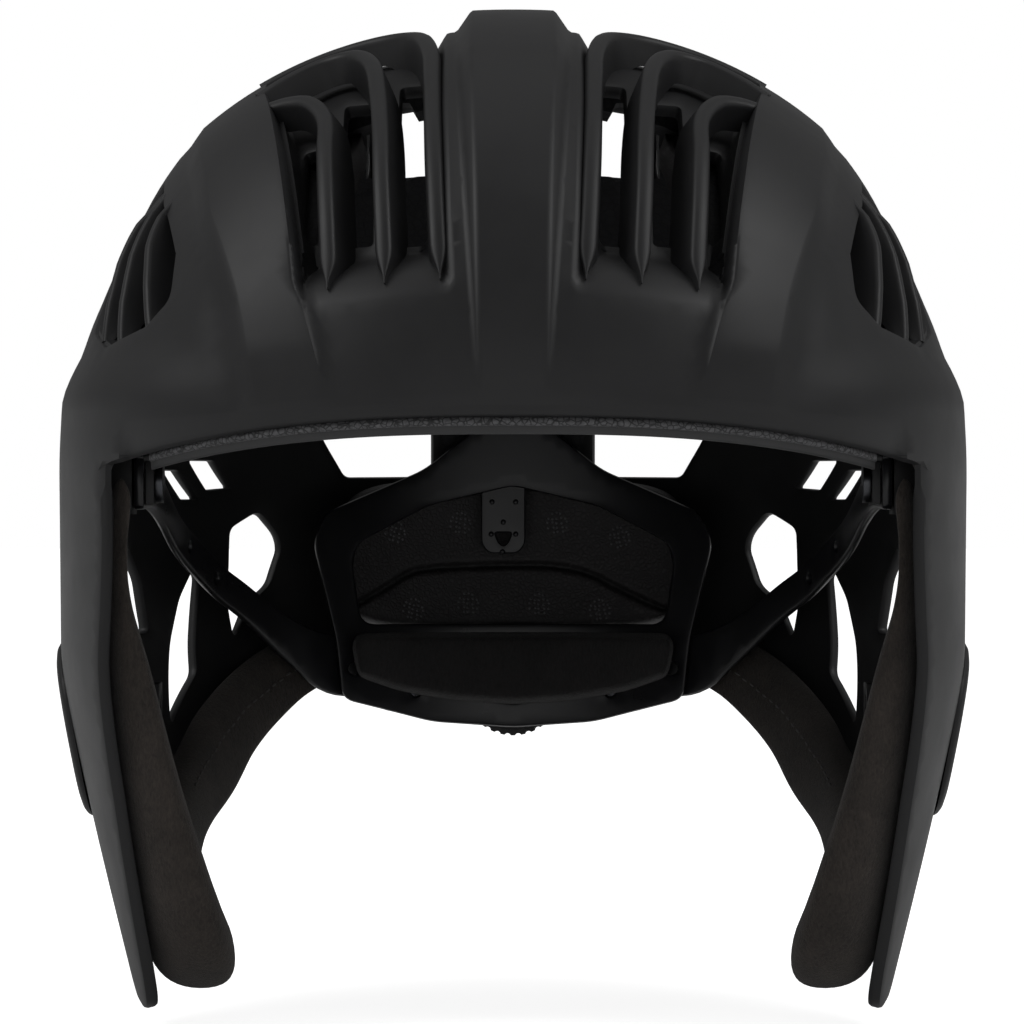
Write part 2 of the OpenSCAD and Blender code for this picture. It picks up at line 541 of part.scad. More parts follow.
// Height plate: it hangs from the yoke's apex and carries a row of studs
plate_y = yoke_back;
plate_t = 1.8;
module height_plate() color("#1f1f21") {
    difference() {
        along_y(plate_y + 0.05, plate_y + plate_t) polygon(mirror_2d([[8, 64], [9, 42], [4, 33]]));
        along_y(plate_y - 1, plate_y + 3) polygon([[-2, 37], [2, 37], [0, 34.4]]);
    }
    for (p = [[-4, 47], [4, 47], [0, 43.5], [-3.6, 40], [3.6, 40]])
        translate([p.x, plate_y + 0.5, p.y]) rotate([90, 0, 0]) cylinder(d = 3, h = 1.6, $fn = 24);
}

// Dial housing on the yoke: a band to each side of a shallow bowl for the spool
housing_in = yoke_r + arm_t + seat_gap;
housing_t = 3.6;
housing_half = 31.5;
bowl_d = drum_d + 4.4;
bowl_floor = 1.7;
bowl_rear = yoke_y + housing_in + 7;
module dial_housing() color("#1d1d1f") difference() {
    union() {
        intersection() {
            yoke_band(housing_in, housing_in + housing_t);
            along_y(60, 130) polygon(mirror_2d([[housing_half, 7], [housing_half, -5.5], [18, -8.5], [0, -9.6]]));
        }
        translate([0, bowl_rear, dial_z]) rotate([90, 0, 0]) cylinder(d = bowl_d + 3, h = 6, $fn = 64);
    }
    translate([0, bowl_rear + 1, dial_z]) rotate([90, 0, 0]) cylinder(d = bowl_d, h = 8 - bowl_floor, $fn = 64);
    translate([0, bowl_rear + 1, dial_z]) rotate([90, 0, 0]) cylinder(d = spindle_d + 2 * run_gap, h = 12, $fn = 32);
    for (s = [-1, 1]) radial(s * screw_a, screw_z, 60, 95) circle(d = screw_d + 0.2, $fn = 24);
}
module housing_screws() color("#8c8c8e") for (s = [-1, 1]) {
    radial(s * screw_a, screw_z, yoke_r + 0.4, housing_in + housing_t + 1) circle(d = screw_d, $fn = 24);
    radial(s * screw_a, screw_z, housing_in + housing_t + 0.1, housing_in + housing_t + 1.4) circle(d = 4.4, $fn = 32);
}
occipital_at = [0, 3.4];
occipital_half = [40.5, 8.2];
occipital_bow = 3.2;
occipital_t = 6;
module occipital_pad() color("#242222")
    cushion(occipital_at, occipital_half, function(x, z, d) [x, yoke_y + sqrt(pow(yoke_r - d, 2) - x * x), z],
            seat_gap, occipital_t, 40, 0.5, occipital_bow, true);

// Ratchet ring on the bowl's rim, toothed inside for the dial's pawls
ring_d = bowl_d + 3;
ring_t = 1.8;
tooth_n = 24;
module ratchet_ring() color("#39393b") translate([0, bowl_rear + ring_t, dial_z]) rotate([90, 0, 0]) linear_extrude(ring_t)
    difference() {
        circle(d = ring_d, $fn = 64);
        polygon([for (i = [0:tooth_n - 1]) each [
            (ring_d / 2 - 2.6) * [cos(360 * i / tooth_n), sin(360 * i / tooth_n)],
            (ring_d / 2 - 1.4) * [cos(360 * (i + 0.15) / tooth_n), sin(360 * (i + 0.15) / tooth_n)]]]);
    }

// Spool that winds the lace: a drum between two flanges, with three slots for the dial's dogs
spool_front = bowl_rear + 1 - (8 - bowl_floor) + 0.2;
spool_rear = bowl_rear - 0.3;
flange_t = 0.9;
dog_r = 4.6;
dog_d = 2.2;
dog_gap = 0.2;
module spool() color("#4a4a4c") translate([0, spool_rear, dial_z]) rotate([90, 0, 0]) difference() {
    union() {
        cylinder(d = drum_d, h = spool_rear - spool_front, $fn = 64);
        cylinder(d = drum_d + 3.4, h = flange_t, $fn = 64);
        translate([0, 0, spool_rear - spool_front - flange_t]) cylinder(d = drum_d + 3.4, h = flange_t, $fn = 64);
    }
    translate([0, 0, -1]) cylinder(d = spindle_d + 2 * run_gap, h = 12, $fn = 32);
    for (a = [90, 210, 330]) rotate([0, 0, a]) translate([dog_r, 0, -1]) cylinder(d = dog_d + 2 * dog_gap, h = 3.6, $fn = 24);
}

// Spindle: a pin from the bowl's floor through the spool and the dial, headed at both ends
dial_front = bowl_rear + ring_t + 0.3;
hub_front = spool_rear + 0.3;
cap_recess = 2 + release_travel;
spindle_end = dial_front + dial_t - 0.6;
module spool_spindle() color("#8c8c8e") {
    translate([0, spindle_end, dial_z]) rotate([90, 0, 0]) cylinder(d = spindle_d, h = spindle_end - housing_floor + 0.2, $fn = 32);
    translate([0, housing_floor - 0.1, dial_z]) rotate([90, 0, 0]) cylinder(d = spindle_head, h = 1.5, $fn = 48);
    translate([0, spindle_end, dial_z]) rotate([90, 0, 0]) cylinder(d = 6.4, h = 1.2, $fn = 48);
}
housing_floor = yoke_y + housing_in;

// Dial: a knurled cap with a bored hub, a recess for the spindle's end and three dogs
knurl_n = 30;
module dial_knob() color("#161617") translate([0, dial_front + dial_t, dial_z]) rotate([90, 0, 0]) difference() {
    union() {
        linear_extrude(dial_t - 1.2) dial_outline();
        cylinder(d = dial_d - 2.4, h = dial_t, $fn = 64);
        cylinder(d = 12.4, h = dial_t + dial_front - hub_front, $fn = 48);
        for (a = [90, 210, 330]) rotate([0, 0, a]) translate([dog_r, 0, 1])
            cylinder(d = dog_d, h = dial_t - 1 + dial_front - hub_front + 1.9, $fn = 24);
    }
    translate([0, 0, -1]) cylinder(d = spindle_d + 2 * run_gap, h = 30, $fn = 32);
    translate([0, 0, -1]) cylinder(d = 7.2, h = 1 + cap_recess, $fn = 48);
    difference() {
        translate([0, 0, 2.4]) cylinder(d = dial_d - 5.2, h = dial_t, $fn = 64);
        cylinder(d = 12.4, h = 30, $fn = 48);
    }
}
module dial_outline() difference() {
    circle(d = dial_d, $fn = 96);
    for (i = [0:knurl_n - 1]) rotate(360 * i / knurl_n) translate([dial_d / 2 + 0.35, 0]) circle(d = 1.7, $fn = 16);
}

outer_shell();
brim_trim();
foam_liner();
brow_pad();
crown_pads();
nape_pad();
ear_pad_left();
ear_pad_right();
ear_cover_left();
ear_cover_right();
strap_anchors_left();
strap_anchors_right();
temple_anchor_left();
temple_anchor_right();
temple_screws();
temple_slider_left();
temple_slider_right();
fit_arm_left();
fit_arm_right();
arm_rivets();
yoke_frame();
height_plate();
dial_housing();
housing_screws();
occipital_pad();
ratchet_ring();
spool();
spool_spindle();
dial_knob();
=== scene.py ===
import json
import math
import bpy
import bmesh
import numpy as np
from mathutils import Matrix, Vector, kdtree
from mathutils.bvhtree import BVHTree
from mathutils.geometry import delaunay_2d_cdt


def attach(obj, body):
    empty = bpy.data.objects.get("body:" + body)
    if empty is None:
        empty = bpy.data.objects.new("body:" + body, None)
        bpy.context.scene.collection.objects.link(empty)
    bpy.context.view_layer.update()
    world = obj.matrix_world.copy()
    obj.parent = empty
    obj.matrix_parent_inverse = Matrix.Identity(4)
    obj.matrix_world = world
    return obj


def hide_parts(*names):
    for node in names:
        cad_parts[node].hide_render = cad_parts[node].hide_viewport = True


with open("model.json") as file:
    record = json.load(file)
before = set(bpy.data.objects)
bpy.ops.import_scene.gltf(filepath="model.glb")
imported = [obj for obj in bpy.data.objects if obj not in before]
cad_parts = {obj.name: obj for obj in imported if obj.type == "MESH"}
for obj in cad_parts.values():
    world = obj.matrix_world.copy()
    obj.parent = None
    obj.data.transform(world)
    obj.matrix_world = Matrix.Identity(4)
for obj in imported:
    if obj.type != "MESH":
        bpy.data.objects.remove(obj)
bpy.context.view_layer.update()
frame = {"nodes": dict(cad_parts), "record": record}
scene = bpy.context.scene
nodes = frame["nodes"]
mm = 0.001
bodyOf = {node: body for body, members in frame["record"]["behaviour"]["bodies"].items() for node in members}
sides = ((-1, "left"), (1, "right"))
print("frame loaded")

# The helmet's form, in mm: a rounded box on its side walls and a dome over the level line
form = {"power": 2.2, "halfWidth": 102, "front": 118, "rear": 122, "level": 50, "crown": 103, "wall": 3.0}
# further down the side walls lean in, and the nape runs forward
leaning = {"from": 14, "rate": 0.27, "hinge": 38}
napeRate = 0.0035
brim = {"edge": 63.5, "drop": 5.5e-5, "dropPower": 2.7, "lip": 2.3, "creaseDrop": 4.5e-6, "rollIn": 1.9,
        "cornerX": 82, "cornerY": -66.0}


def mix(a, b, share):
    return a + (b - a) * share


def clamp(value, low=0.0, high=1.0):
    return max(low, min(high, value))


def smooth(low, high, value):
    share = clamp((value - low) / (high - low))
    return share * share * (3 - 2 * share)


def softMin(a, b, k):
    h = clamp(0.5 + 0.5 * (b - a) / k)
    return mix(b, a, h) - k * h * (1 - h)


def softMax(a, b, k):
    return -softMin(-a, -b, k)


def lookup(value, pairs):
    return float(np.interp(value, [p[0] for p in pairs], [p[1] for p in pairs]))


def signedPower(value, power):
    return math.copysign(abs(value) ** power, value)


def rest(p, q=0.0):
    left = 1 - abs(p) ** form["power"] - abs(q) ** form["power"]
    return left ** (1 / form["power"]) if left > 0 else 0.0


def lean(z):
    below = leaning["from"] - z
    return leaning["rate"] * below ** 2 / (leaning["hinge"] - z) if below > 0 else 0.0


def nape(z):
    return napeRate * (form["level"] - z) ** 2 if z < form["level"] else 0.0


def halfX(z, d):
    return form["halfWidth"] - d - lean(z)


def halfY(z, d, front):
    return (form["front"] if front else form["rear"] - nape(z)) - d


def rise(z, d):
    return max(0.0, z - form["level"]) / (form["crown"] - d)


def sidePoint(y, z, d=0.0, side=1):
    return Vector((side * halfX(z, d) * rest(y / halfY(z, d, y < 0), rise(z, d)), y, z))


def frontPoint(x, z, d=0.0):
    return Vector((x, -halfY(z, d, True) * rest(x / halfX(z, d), rise(z, d)), z))


def rearPoint(x, z, d=0.0):
    return Vector((x, halfY(z, d, False) * rest(x / halfX(z, d), rise(z, d)), z))


def domePoint(x, angle, d=0.0):
    f = rest(x / (form["halfWidth"] - d))
    c, s, p = math.cos(math.radians(angle)), math.sin(math.radians(angle)), 2 / form["power"]
    reach = form["front"] - d if c > 0 else form["rear"] - d
    y = -math.copysign(1, c) * reach * f * abs(c) ** p
    return Vector((x, y, form["level"] + (form["crown"] - d) * f * max(0.0, s) ** p))


def angleAt(x, z, d=0.0, behind=False):
    share = clamp((z - form["level"]) / ((form["crown"] - d) * max(1e-6, rest(x / (form["halfWidth"] - d)))))
    angle = math.degrees(math.asin(min(1.0, share ** (form["power"] / 2))))
    return 180 - angle if behind else angle


def formNormal(p):
    power = form["power"]
    ax, by = halfX(p.z, 0), halfY(p.z, 0, p.y < 0)
    fx, fy = abs(p.x) / ax, abs(p.y) / by
    gx = math.copysign(fx ** (power - 1) / ax, p.x)
    gy = math.copysign(fy ** (power - 1) / by, p.y)
    if p.z > form["level"]:
        gz = ((p.z - form["level"]) / form["crown"]) ** (power - 1) / form["crown"]
    else:
        slopeX = halfX(p.z + 0.5, 0) - halfX(p.z - 0.5, 0)
        slopeY = halfY(p.z + 0.5, 0, p.y < 0) - halfY(p.z - 0.5, 0, p.y < 0)
        gz = -(fx ** power * slopeX / ax + fy ** power * slopeY / by)
    return Vector((gx, gy, gz)).normalized()


def brimZ(x):
    return brim["edge"] - brim["drop"] * abs(x) ** brim["dropPower"]


def creaseZ(x):
    return brim["edge"] + brim["lip"] - brim["creaseDrop"] * abs(x) ** 3


# Lines over the dome: (angle, distance from the middle)
crestLine = [[10, 7.14], [60, 9.4]]
ridgeIn = [[9, 39], [24, 46], [70, 55], [90, 55.5]]
ridgeOut = [[9, 54], [24, 58.4], [40, 65], [60, 69], [90, 70]]
crest = {"rise": 4.6, "foot": 3.4, "start": 9, "climb": 51, "power": 0.62, "end": 172, "fade": 40, "round": 0.7,
         "spread": 0.8, "under": 1.2}
bay = {"gap": 5.5, "slope": 0.61, "depth": 9.0, "sill": 19.8, "full": 29.0, "end": 152, "ease": 1.7,
       "softSill": 2.6, "softEnd": 34, "round": 0.7, "floorRound": 1.2}
bayFade = [[52, 9.0], [60, 8.55], [68, 7.2], [76, 5.85], [84, 4.95], [94, 4.5], [118, 4.5], [130, 4.05], [140, 3.15],
           [151, -1]]
ridge = {"start": 6, "climb": 9, "end": 112, "fade": 30, "edge": 0.4, "round": 0.06}
ridgeRise = [[9, 1.7], [30, 2.1], [45, 2.0], [60, 1.6], [75, 1.2], [110, 1.0]]
ridgeFall = [[9, 5.0], [40, 4.2], [60, 3.2], [110, 3.0]]
ridgeStep = [[9, 1.6], [20, 1.8], [30, 3.2]]
# how far the real side walls stand out from the plain form (height, distance), and between which widths that sets in
sideSwell = [[-20, 0.0], [10, 0.7], [43, 1.0], [62, 1.2], [69, 1.5], [74, 0.3], [79, -1.2], [85, -1.7], [92, -2.3],
             [98, -2.4], [105, -2.0], [111, -1.9], [117, -1.0], [124, 0.0]]
swellBand = {"out": (56, 84), "in": (64, 77)}


def crestRise(t):
    if t < crest["start"] or t > crest["end"]:
        return 0.0
    climbed = min(1, (t - crest["start"]) / crest["climb"]) ** crest["power"]
    return crest["rise"] * climbed * min(1, (crest["end"] - t) / crest["fade"])


def floorDepth(t):
    if t > bayFade[0][0]:
        return lookup(t, bayFade)
    return bay["depth"] * clamp((t - bay["sill"]) / (bay["full"] - bay["sill"])) ** bay["ease"]


def bayDepth(x, t):
    xi, xo = lookup(t, crestLine) + bay["gap"], lookup(t, ridgeIn)
    soft = mix(bay["softSill"], bay["round"], smooth(bay["sill"], bay["softEnd"], t))
    depth = softMin((x - xi) / bay["slope"], (xo - x) / bay["slope"], soft)
    floorHere = floorDepth(t)
    return softMax(softMin(depth, floorHere, bay["floorRound"]), 0, min(soft, max(0.05, 2.5 * floorHere)))


def domeHeight(x, t):
    # how far the outer skin stands over the plain form
    height = 0.0
    rising = crestRise(t)
    if rising > 0:
        w = lookup(t, crestLine)
        foot = w + crest["foot"] * rising / crest["rise"] + crest["spread"]
        slope = (foot - x) / (foot - w) * (rising + crest["under"]) - crest["under"]
        height += softMax(softMin(slope, rising, crest["round"]), 0, crest["round"])
    if ridge["start"] < t < ridge["end"]:
        climbed, left = (t - ridge["start"]) / ridge["climb"], (ridge["end"] - t) / ridge["fade"]
        top = lookup(t, ridgeRise) * min(1, climbed) * min(1, left)
        xi, xo, fall = lookup(t, ridgeIn), lookup(t, ridgeOut), lookup(t, ridgeFall)
        inner = smooth(xi - lookup(t, ridgeStep), xi + ridge["edge"], x)
        height += top * inner * softMin(1, clamp((xo + fall - x) / fall), ridge["round"])
    if bay["sill"] < t < bay["end"]:
        height -= bayDepth(x, t)
    return height


def rollDepth(x, z):
    # the lip below the crease turns in towards the brim's edge
    q = clamp((creaseZ(x) - z) / (creaseZ(x) - brimZ(x)))
    return brim["rollIn"] * (0.35 * q + 0.65 * (1 - math.sqrt(max(0.0, 1 - q * q))))


def edgeRound(distance, radius):
    return radius - math.sqrt(max(0.0, radius ** 2 - (radius - distance) ** 2)) if distance < radius else 0.0


def resample(path, step, closed=False):
    # points at even steps along a path, its corners kept
    pts = [Vector(p) for p in path] + ([Vector(path[0])] if closed else [])
    out = [pts[0].copy()]
    for a, b in zip(pts, pts[1:]):
        n = max(1, round((b - a).length / step))
        out += [a.lerp(b, (i + 1) / n) for i in range(n)]
    return out[:-1] if closed else out


def curved(path, steps, closed=False):
    # a Catmull-Rom curve through the points
    pts = [Vector(p) for p in path]
    n = len(pts)
    out = []
    for i in range(n if closed else n - 1):
        p1, p2 = pts[i], pts[(i + 1) % n]
        p0 = pts[(i - 1) % n] if closed or i > 0 else p1 * 2 - p2
        p3 = pts[(i + 2) % n] if closed or i + 2 < n else p2 * 2 - p1
        for k in range(steps):
            t = k / steps
            a, b, c = p2 - p0, 2 * p0 - 5 * p1 + 4 * p2 - p3, 3 * p1 - p0 - 3 * p2 + p3
            out.append(0.5 * ((2 * p1) + a * t + b * t * t + c * t ** 3))
    if not closed:
        out.append(pts[-1])
    return out


def roundCorners(path, radius, steps=5):
    # a closed outline whose corners are curved
    pts = [Vector(p) for p in path]
    out = []
    for i, corner in enumerate(pts):
        before, after = pts[i - 1] - corner, pts[(i + 1) % len(pts)] - corner
        a = corner + before.normalized() * min(radius, before.length * 0.45)
        b = corner + after.normalized() * min(radius, after.length * 0.45)
        out += [a.lerp(corner, k / steps).lerp(corner.lerp(b, k / steps), k / steps) for k in range(steps + 1)]
    return out


def softLoop(path, radius, step, cornerSteps=5):
    return resample(roundCorners(path, radius, cornerSteps), step, True)


def roundedLoop(middle, half, power, count):
    # a closed loop between an ellipse (power 1) and its box
    turns = [2 * math.pi * i / count for i in range(count)]
    return [Vector((middle[0] + half[0] * signedPower(math.cos(w), power),
                    middle[1] + half[1] * signedPower(math.sin(w), power))) for w in turns]


def grown(path, amount):
    # a closed outline moved outwards along its own normals
    n = len(path)
    sign = 1 if sum(path[i - 1].x * path[i].y - path[i].x * path[i - 1].y for i in range(n)) > 0 else -1
    out = []
    for i in range(n):
        along = (path[(i + 1) % n] - path[i - 1]).normalized()
        out.append(path[i] + Vector((along.y, -along.x)) * amount * sign)
    return out


def insideLoop(points, loop):
    x, y = points[:, 0], points[:, 1]
    result = np.zeros(len(points), bool)
    for a, b in zip(loop, loop[1:] + loop[:1]):
        if a[1] != b[1]:
            result ^= ((a[1] > y) != (b[1] > y)) & (x < (b[0] - a[0]) * (y - a[1]) / (b[1] - a[1]) + a[0])
    return result


def distanceTo(points, edges):
    best = np.full(len(points), 1e9)
    for a, b in edges:
        ab = np.array((b[0] - a[0], b[1] - a[1]))
        ap = points - np.array((a[0], a[1]))
        share = np.clip(ap @ ab / max(1e-12, ab @ ab), 0, 1)
        best = np.minimum(best, np.hypot(*(ap - share[:, None] * ab).T))
    return best


def loopEdges(loops):
    return [pair for loop in loops for pair in zip(loop, loop[1:] + loop[:1])]


def patch(outline, holes, lines, spacing, trueEdges):
    # triangles between an outline and its holes, with edges along the lines
    coords, edges = [], []

    def add(path, closed):
        start = len(coords)
        coords.extend(Vector((p[0], p[1])) for p in path)
        edges.extend((start + i, start + i + 1) for i in range(len(path) - 1))
        if closed:
            edges.append((start + len(path) - 1, start))
    add(outline, True)
    for hole in holes:
        add(hole, True)
        for amount in (0.3, 0.9):
            add(grown(hole, amount), True)
    for line in lines:
        add(line, False)
    tree = kdtree.KDTree(len(coords))
    for i, p in enumerate(coords):
        tree.insert((p.x, p.y, 0), i)
    tree.balance()
    low = np.min([(p[0], p[1]) for p in outline], axis=0)
    high = np.max([(p[0], p[1]) for p in outline], axis=0)
    rows = []
    for j in range(int((high[1] - low[1]) / (spacing * 0.866)) + 1):
        for i in range(int((high[0] - low[0]) / spacing) + 2):
            p = (low[0] + (i + 0.5 * (j % 2)) * spacing, low[1] + j * spacing * 0.866)
            if tree.find((p[0], p[1], 0))[2] > spacing * 0.5:
                rows.append(p)
    loop = [(p[0], p[1]) for p in outline]
    free = np.array(rows)
    free = free[insideLoop(free, loop)]
    coords.extend(Vector(p) for p in free)
    verts, _, faces, _, _, _ = delaunay_2d_cdt(coords, edges, [], 0, 1e-4)
    flat = np.array([(v.x, v.y) for v in verts])
    tris = np.array([f for f in faces if len(f) == 3])
    middle = flat[tris].mean(axis=1)
    keep = insideLoop(middle, loop)
    for hole in holes:
        keep &= ~insideLoop(middle, [(p.x, p.y) for p in hole])
    return verts, [tuple(t) for t in tris[keep]], distanceTo(flat, trueEdges)


class Skin:
    # an outer skin, with the inner point of the wall kept beside each outer one
    def __init__(self):
        self.outer, self.inner, self.faces, self.keys = [], [], [], {}

    def point(self, outer, inner):
        key = (round(outer.x * 50), round(outer.y * 50), round(outer.z * 50))
        if key not in self.keys:
            self.keys[key] = len(self.outer)
            self.outer.append(outer)
            self.inner.append(inner)
        return self.keys[key]

    def triangles(self, pairs, tris):
        ids = [self.point(*p) for p in pairs]
        for t in tris:
            f = [ids[i] for i in t]
            if len(set(f)) == 3:
                self.faces.append(f)

    def closed(self):
        # both skins of both halves, and the wall's edges between them
        count = len(self.outer)
        outer, inner, faces, twin = list(self.outer), list(self.inner), list(self.faces), {}
        for i, p in enumerate(self.outer):
            if abs(p.x) < 0.02:
                outer[i].x = inner[i].x = 0.0
                twin[i] = i
            else:
                twin[i] = len(outer)
                outer.append(Vector((-p.x, p.y, p.z)))
                inner.append(Vector((-self.inner[i].x, self.inner[i].y, self.inner[i].z)))
        faces += [[twin[i] for i in reversed(f)] for f in self.faces]
        used = {}
        for f in faces:
            for a, b in zip(f, f[1:] + f[:1]):
                used[(a, b)] = used.get((a, b), 0) + 1
        total = len(outer)
        walls = [(b, a, a + total, b + total) for (a, b) in used if (b, a) not in used]
        allFaces = [tuple(f) for f in faces] + [tuple(i + total for i in reversed(f)) for f in faces] + walls
        return outer + inner, allFaces


def linked(name, data):
    obj = bpy.data.objects.new(name, data)
    scene.collection.objects.link(obj)
    return obj


def meshObject(name, points, faces, smoothAngle=40):
    mesh = bpy.data.meshes.new(name)
    mesh.from_pydata([tuple(p * mm) for p in points], [], faces)
    mesh.validate()
    mesh.polygons.foreach_set("use_smooth", [True] * len(mesh.polygons))
    mesh.set_sharp_from_angle(angle=math.radians(smoothAngle))
    return linked(name, mesh)


def loftFaces(ringCount, ringSize, start=0):
    # the sides between rings of points, and a cap at each end
    faces = []
    for j in range(ringCount - 1):
        for i in range(ringSize):
            a, b = start + j * ringSize + i, start + j * ringSize + (i + 1) % ringSize
            faces.append((a, b, b + ringSize, a + ringSize))
    faces.append(tuple(start + i for i in reversed(range(ringSize))))
    faces.append(tuple(start + (ringCount - 1) * ringSize + i for i in range(ringSize)))
    return faces


def pointFaces(mesh):
    # all faces outwards
    bm = bmesh.new()
    bm.from_mesh(mesh)
    bmesh.ops.remove_doubles(bm, verts=bm.verts, dist=1e-6)
    bmesh.ops.delete(bm, geom=[v for v in bm.verts if not v.link_faces], context="VERTS")
    bmesh.ops.recalc_face_normals(bm, faces=bm.faces)
    bm.to_mesh(mesh)
    bm.free()


def loftObject(name, rings, smoothAngle):
    faces = loftFaces(len(rings), len(rings[0]))
    obj = meshObject(name, [p for ring in rings for p in ring], faces, smoothAngle)
    pointFaces(obj.data)
    return obj


def settle(obj):
    # the modifiers' result becomes the mesh
    made = bpy.data.meshes.new_from_object(obj.evaluated_get(bpy.context.evaluated_depsgraph_get()))
    obj.modifiers.clear()
    obj.data = made


def camelName(node):
    words = node.split("_")
    return words[0] + "".join(word.capitalize() for word in words[1:])


def dress(obj, material, body, node):
    obj.data.polygons.foreach_set("use_smooth", [True] * len(obj.data.polygons))
    obj.data.materials.clear()
    obj.data.materials.append(material)
    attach(obj, body)
    if node:
        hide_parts(node)


def dressNode(obj, material, node):
    # a piece that stands for a node takes the node's body, and the node is hidden
    dress(obj, material, bodyOf[node], node)


# Materials
def linear(hexColour):
    channels = [int(hexColour[i:i + 2], 16) / 255 for i in (1, 3, 5)]
    return tuple(c / 12.92 if c <= 0.04045 else ((c + 0.055) / 1.055) ** 2.4 for c in channels) + (1.0,)


def addNode(tree, kind, settings=None, links=None):
    node = tree.nodes.new(kind)
    for key, value in (settings or {}).items():
        if isinstance(key, str) and hasattr(node, key):
            setattr(node, key, value)
        else:
            node.inputs[key].default_value = value
    for key, socket in (links or {}).items():
        tree.links.new(socket, node.inputs[key])
    return node


def newMaterial(name):
    material = bpy.data.materials.new(name)
    material.use_nodes = True
    tree = material.node_tree
    shader = tree.nodes["Principled BSDF"]
    place = addNode(tree, "ShaderNodeTexCoord").outputs["Object"]
    return material, tree, shader, place


def mixColour(tree, factor, a, b):
    # either colour may be a plain one or a socket
    node = addNode(tree, "ShaderNodeMix", {"data_type": "RGBA"}, {0: factor})
    for index, colour in ((6, a), (7, b)):
        if isinstance(colour, tuple):
            node.inputs[index].default_value = colour
        else:
            tree.links.new(colour, node.inputs[index])
    return node.outputs[2]


def setInputs(node, values):
    for key, value in values.items():
        node.inputs[key].default_value = value


def noise(tree, place, sizeMm, settings):
    return addNode(tree, "ShaderNodeTexNoise", {"Scale": 1 / (sizeMm * mm), **settings}, {"Vector": place})


def cellEdges(tree, place, sizeMm, randomness=1.0):
    settings = {"feature": "DISTANCE_TO_EDGE", "Scale": 1 / (sizeMm * mm), "Randomness": randomness}
    return addNode(tree, "ShaderNodeTexVoronoi", settings, {"Vector": place}).outputs[0]


def ranged(tree, value, low, high, toLow=0.0, toHigh=1.0):
    settings = {"From Min": low, "From Max": high, "To Min": toLow, "To Max": toHigh}
    return addNode(tree, "ShaderNodeMapRange", settings, {"Value": value}).outputs[0]


def combined(tree, operation, sockets, values=None):
    return addNode(tree, "ShaderNodeMath", {"operation": operation, **(values or {})}, sockets).outputs[0]


def paint(tree, shader, tone, low, high):
    tree.links.new(mixColour(tree, tone, linear(low), linear(high)), shader.inputs["Base Color"])


def relief(tree, shader, height, strength, depthMm):
    bump = addNode(tree, "ShaderNodeBump", {"Strength": strength, "Distance": depthMm * mm}, {"Height": height})
    tree.links.new(bump.outputs[0], shader.inputs["Normal"])


# Moulded ABS shell: satin black, with the fine spark-eroded grain of its mould and a little uneven gloss
def mouldedPlastic(name, colour, worn, grainMm, rough, grainDepth=0.02, specular=0.5):
    material, tree, shader, place = newMaterial(name)
    grain = noise(tree, place, grainMm, {"Detail": 3.0, "Roughness": 0.6}).outputs[0]
    cloud = noise(tree, place, 38, {"Detail": 4.0, "Roughness": 0.65}).outputs[0]
    tree.links.new(ranged(tree, cloud, 0.3, 0.7, rough - 0.05, rough + 0.06), shader.inputs["Roughness"])
    paint(tree, shader, ranged(tree, cloud, 0.35, 0.75), colour, worn)
    relief(tree, shader, grain, 0.5, grainDepth)
    setInputs(shader, {"Specular IOR Level": specular})
    return material


# Vinyl edge trim: dull grey, its skin crazed by salt and sun
def crazedTrim(name, colour, dark):
    material, tree, shader, place = newMaterial(name)
    cracks = ranged(tree, cellEdges(tree, place, 1.3), 0.0, 0.12)
    blots = noise(tree, place, 1.1, {"Detail": 5.0, "Roughness": 0.75}).outputs[0]
    both = combined(tree, "MULTIPLY", {0: cracks, 1: blots})
    paint(tree, shader, ranged(tree, both, 0.2, 0.68), dark, colour)
    relief(tree, shader, both, 0.7, 0.2)
    setInputs(shader, {"Roughness": 0.75})
    return material


# Bead foam: black beads pressed together, their outlines just seen
def beadFoam(name, colour, edge):
    material, tree, shader, place = newMaterial(name)
    beads = ranged(tree, cellEdges(tree, place, 2.4, 0.85), 0.0, 0.16)
    paint(tree, shader, beads, edge, colour)
    relief(tree, shader, beads, 0.35, 0.12)
    setInputs(shader, {"Roughness": 0.7, "Specular IOR Level": 0.3})
    return material


# Brushed polyester nap: short brown-black fibres that catch light at a low angle
def nappedFabric(name, colour, light):
    material, tree, shader, place = newMaterial(name)
    stretch = addNode(tree, "ShaderNodeMapping", {"Scale": (1.0, 1.0, 0.4)}, {"Vector": place})
    fibre = noise(tree, stretch.outputs[0], 0.55, {"Detail": 4.0, "Roughness": 0.7, "Distortion": 0.6}).outputs[0]
    patchy = noise(tree, place, 9, {"Detail": 3.0, "Distortion": 0.8}).outputs[0]
    both = combined(tree, "MULTIPLY_ADD", {0: patchy, 2: fibre}, {1: 0.45})
    paint(tree, shader, ranged(tree, both, 0.45, 1.0), colour, light)
    relief(tree, shader, both, 0.8, 0.35)
    setInputs(shader, {"Roughness": 0.95, "Sheen Weight": 0.12, "Sheen Roughness": 0.5})
    return material
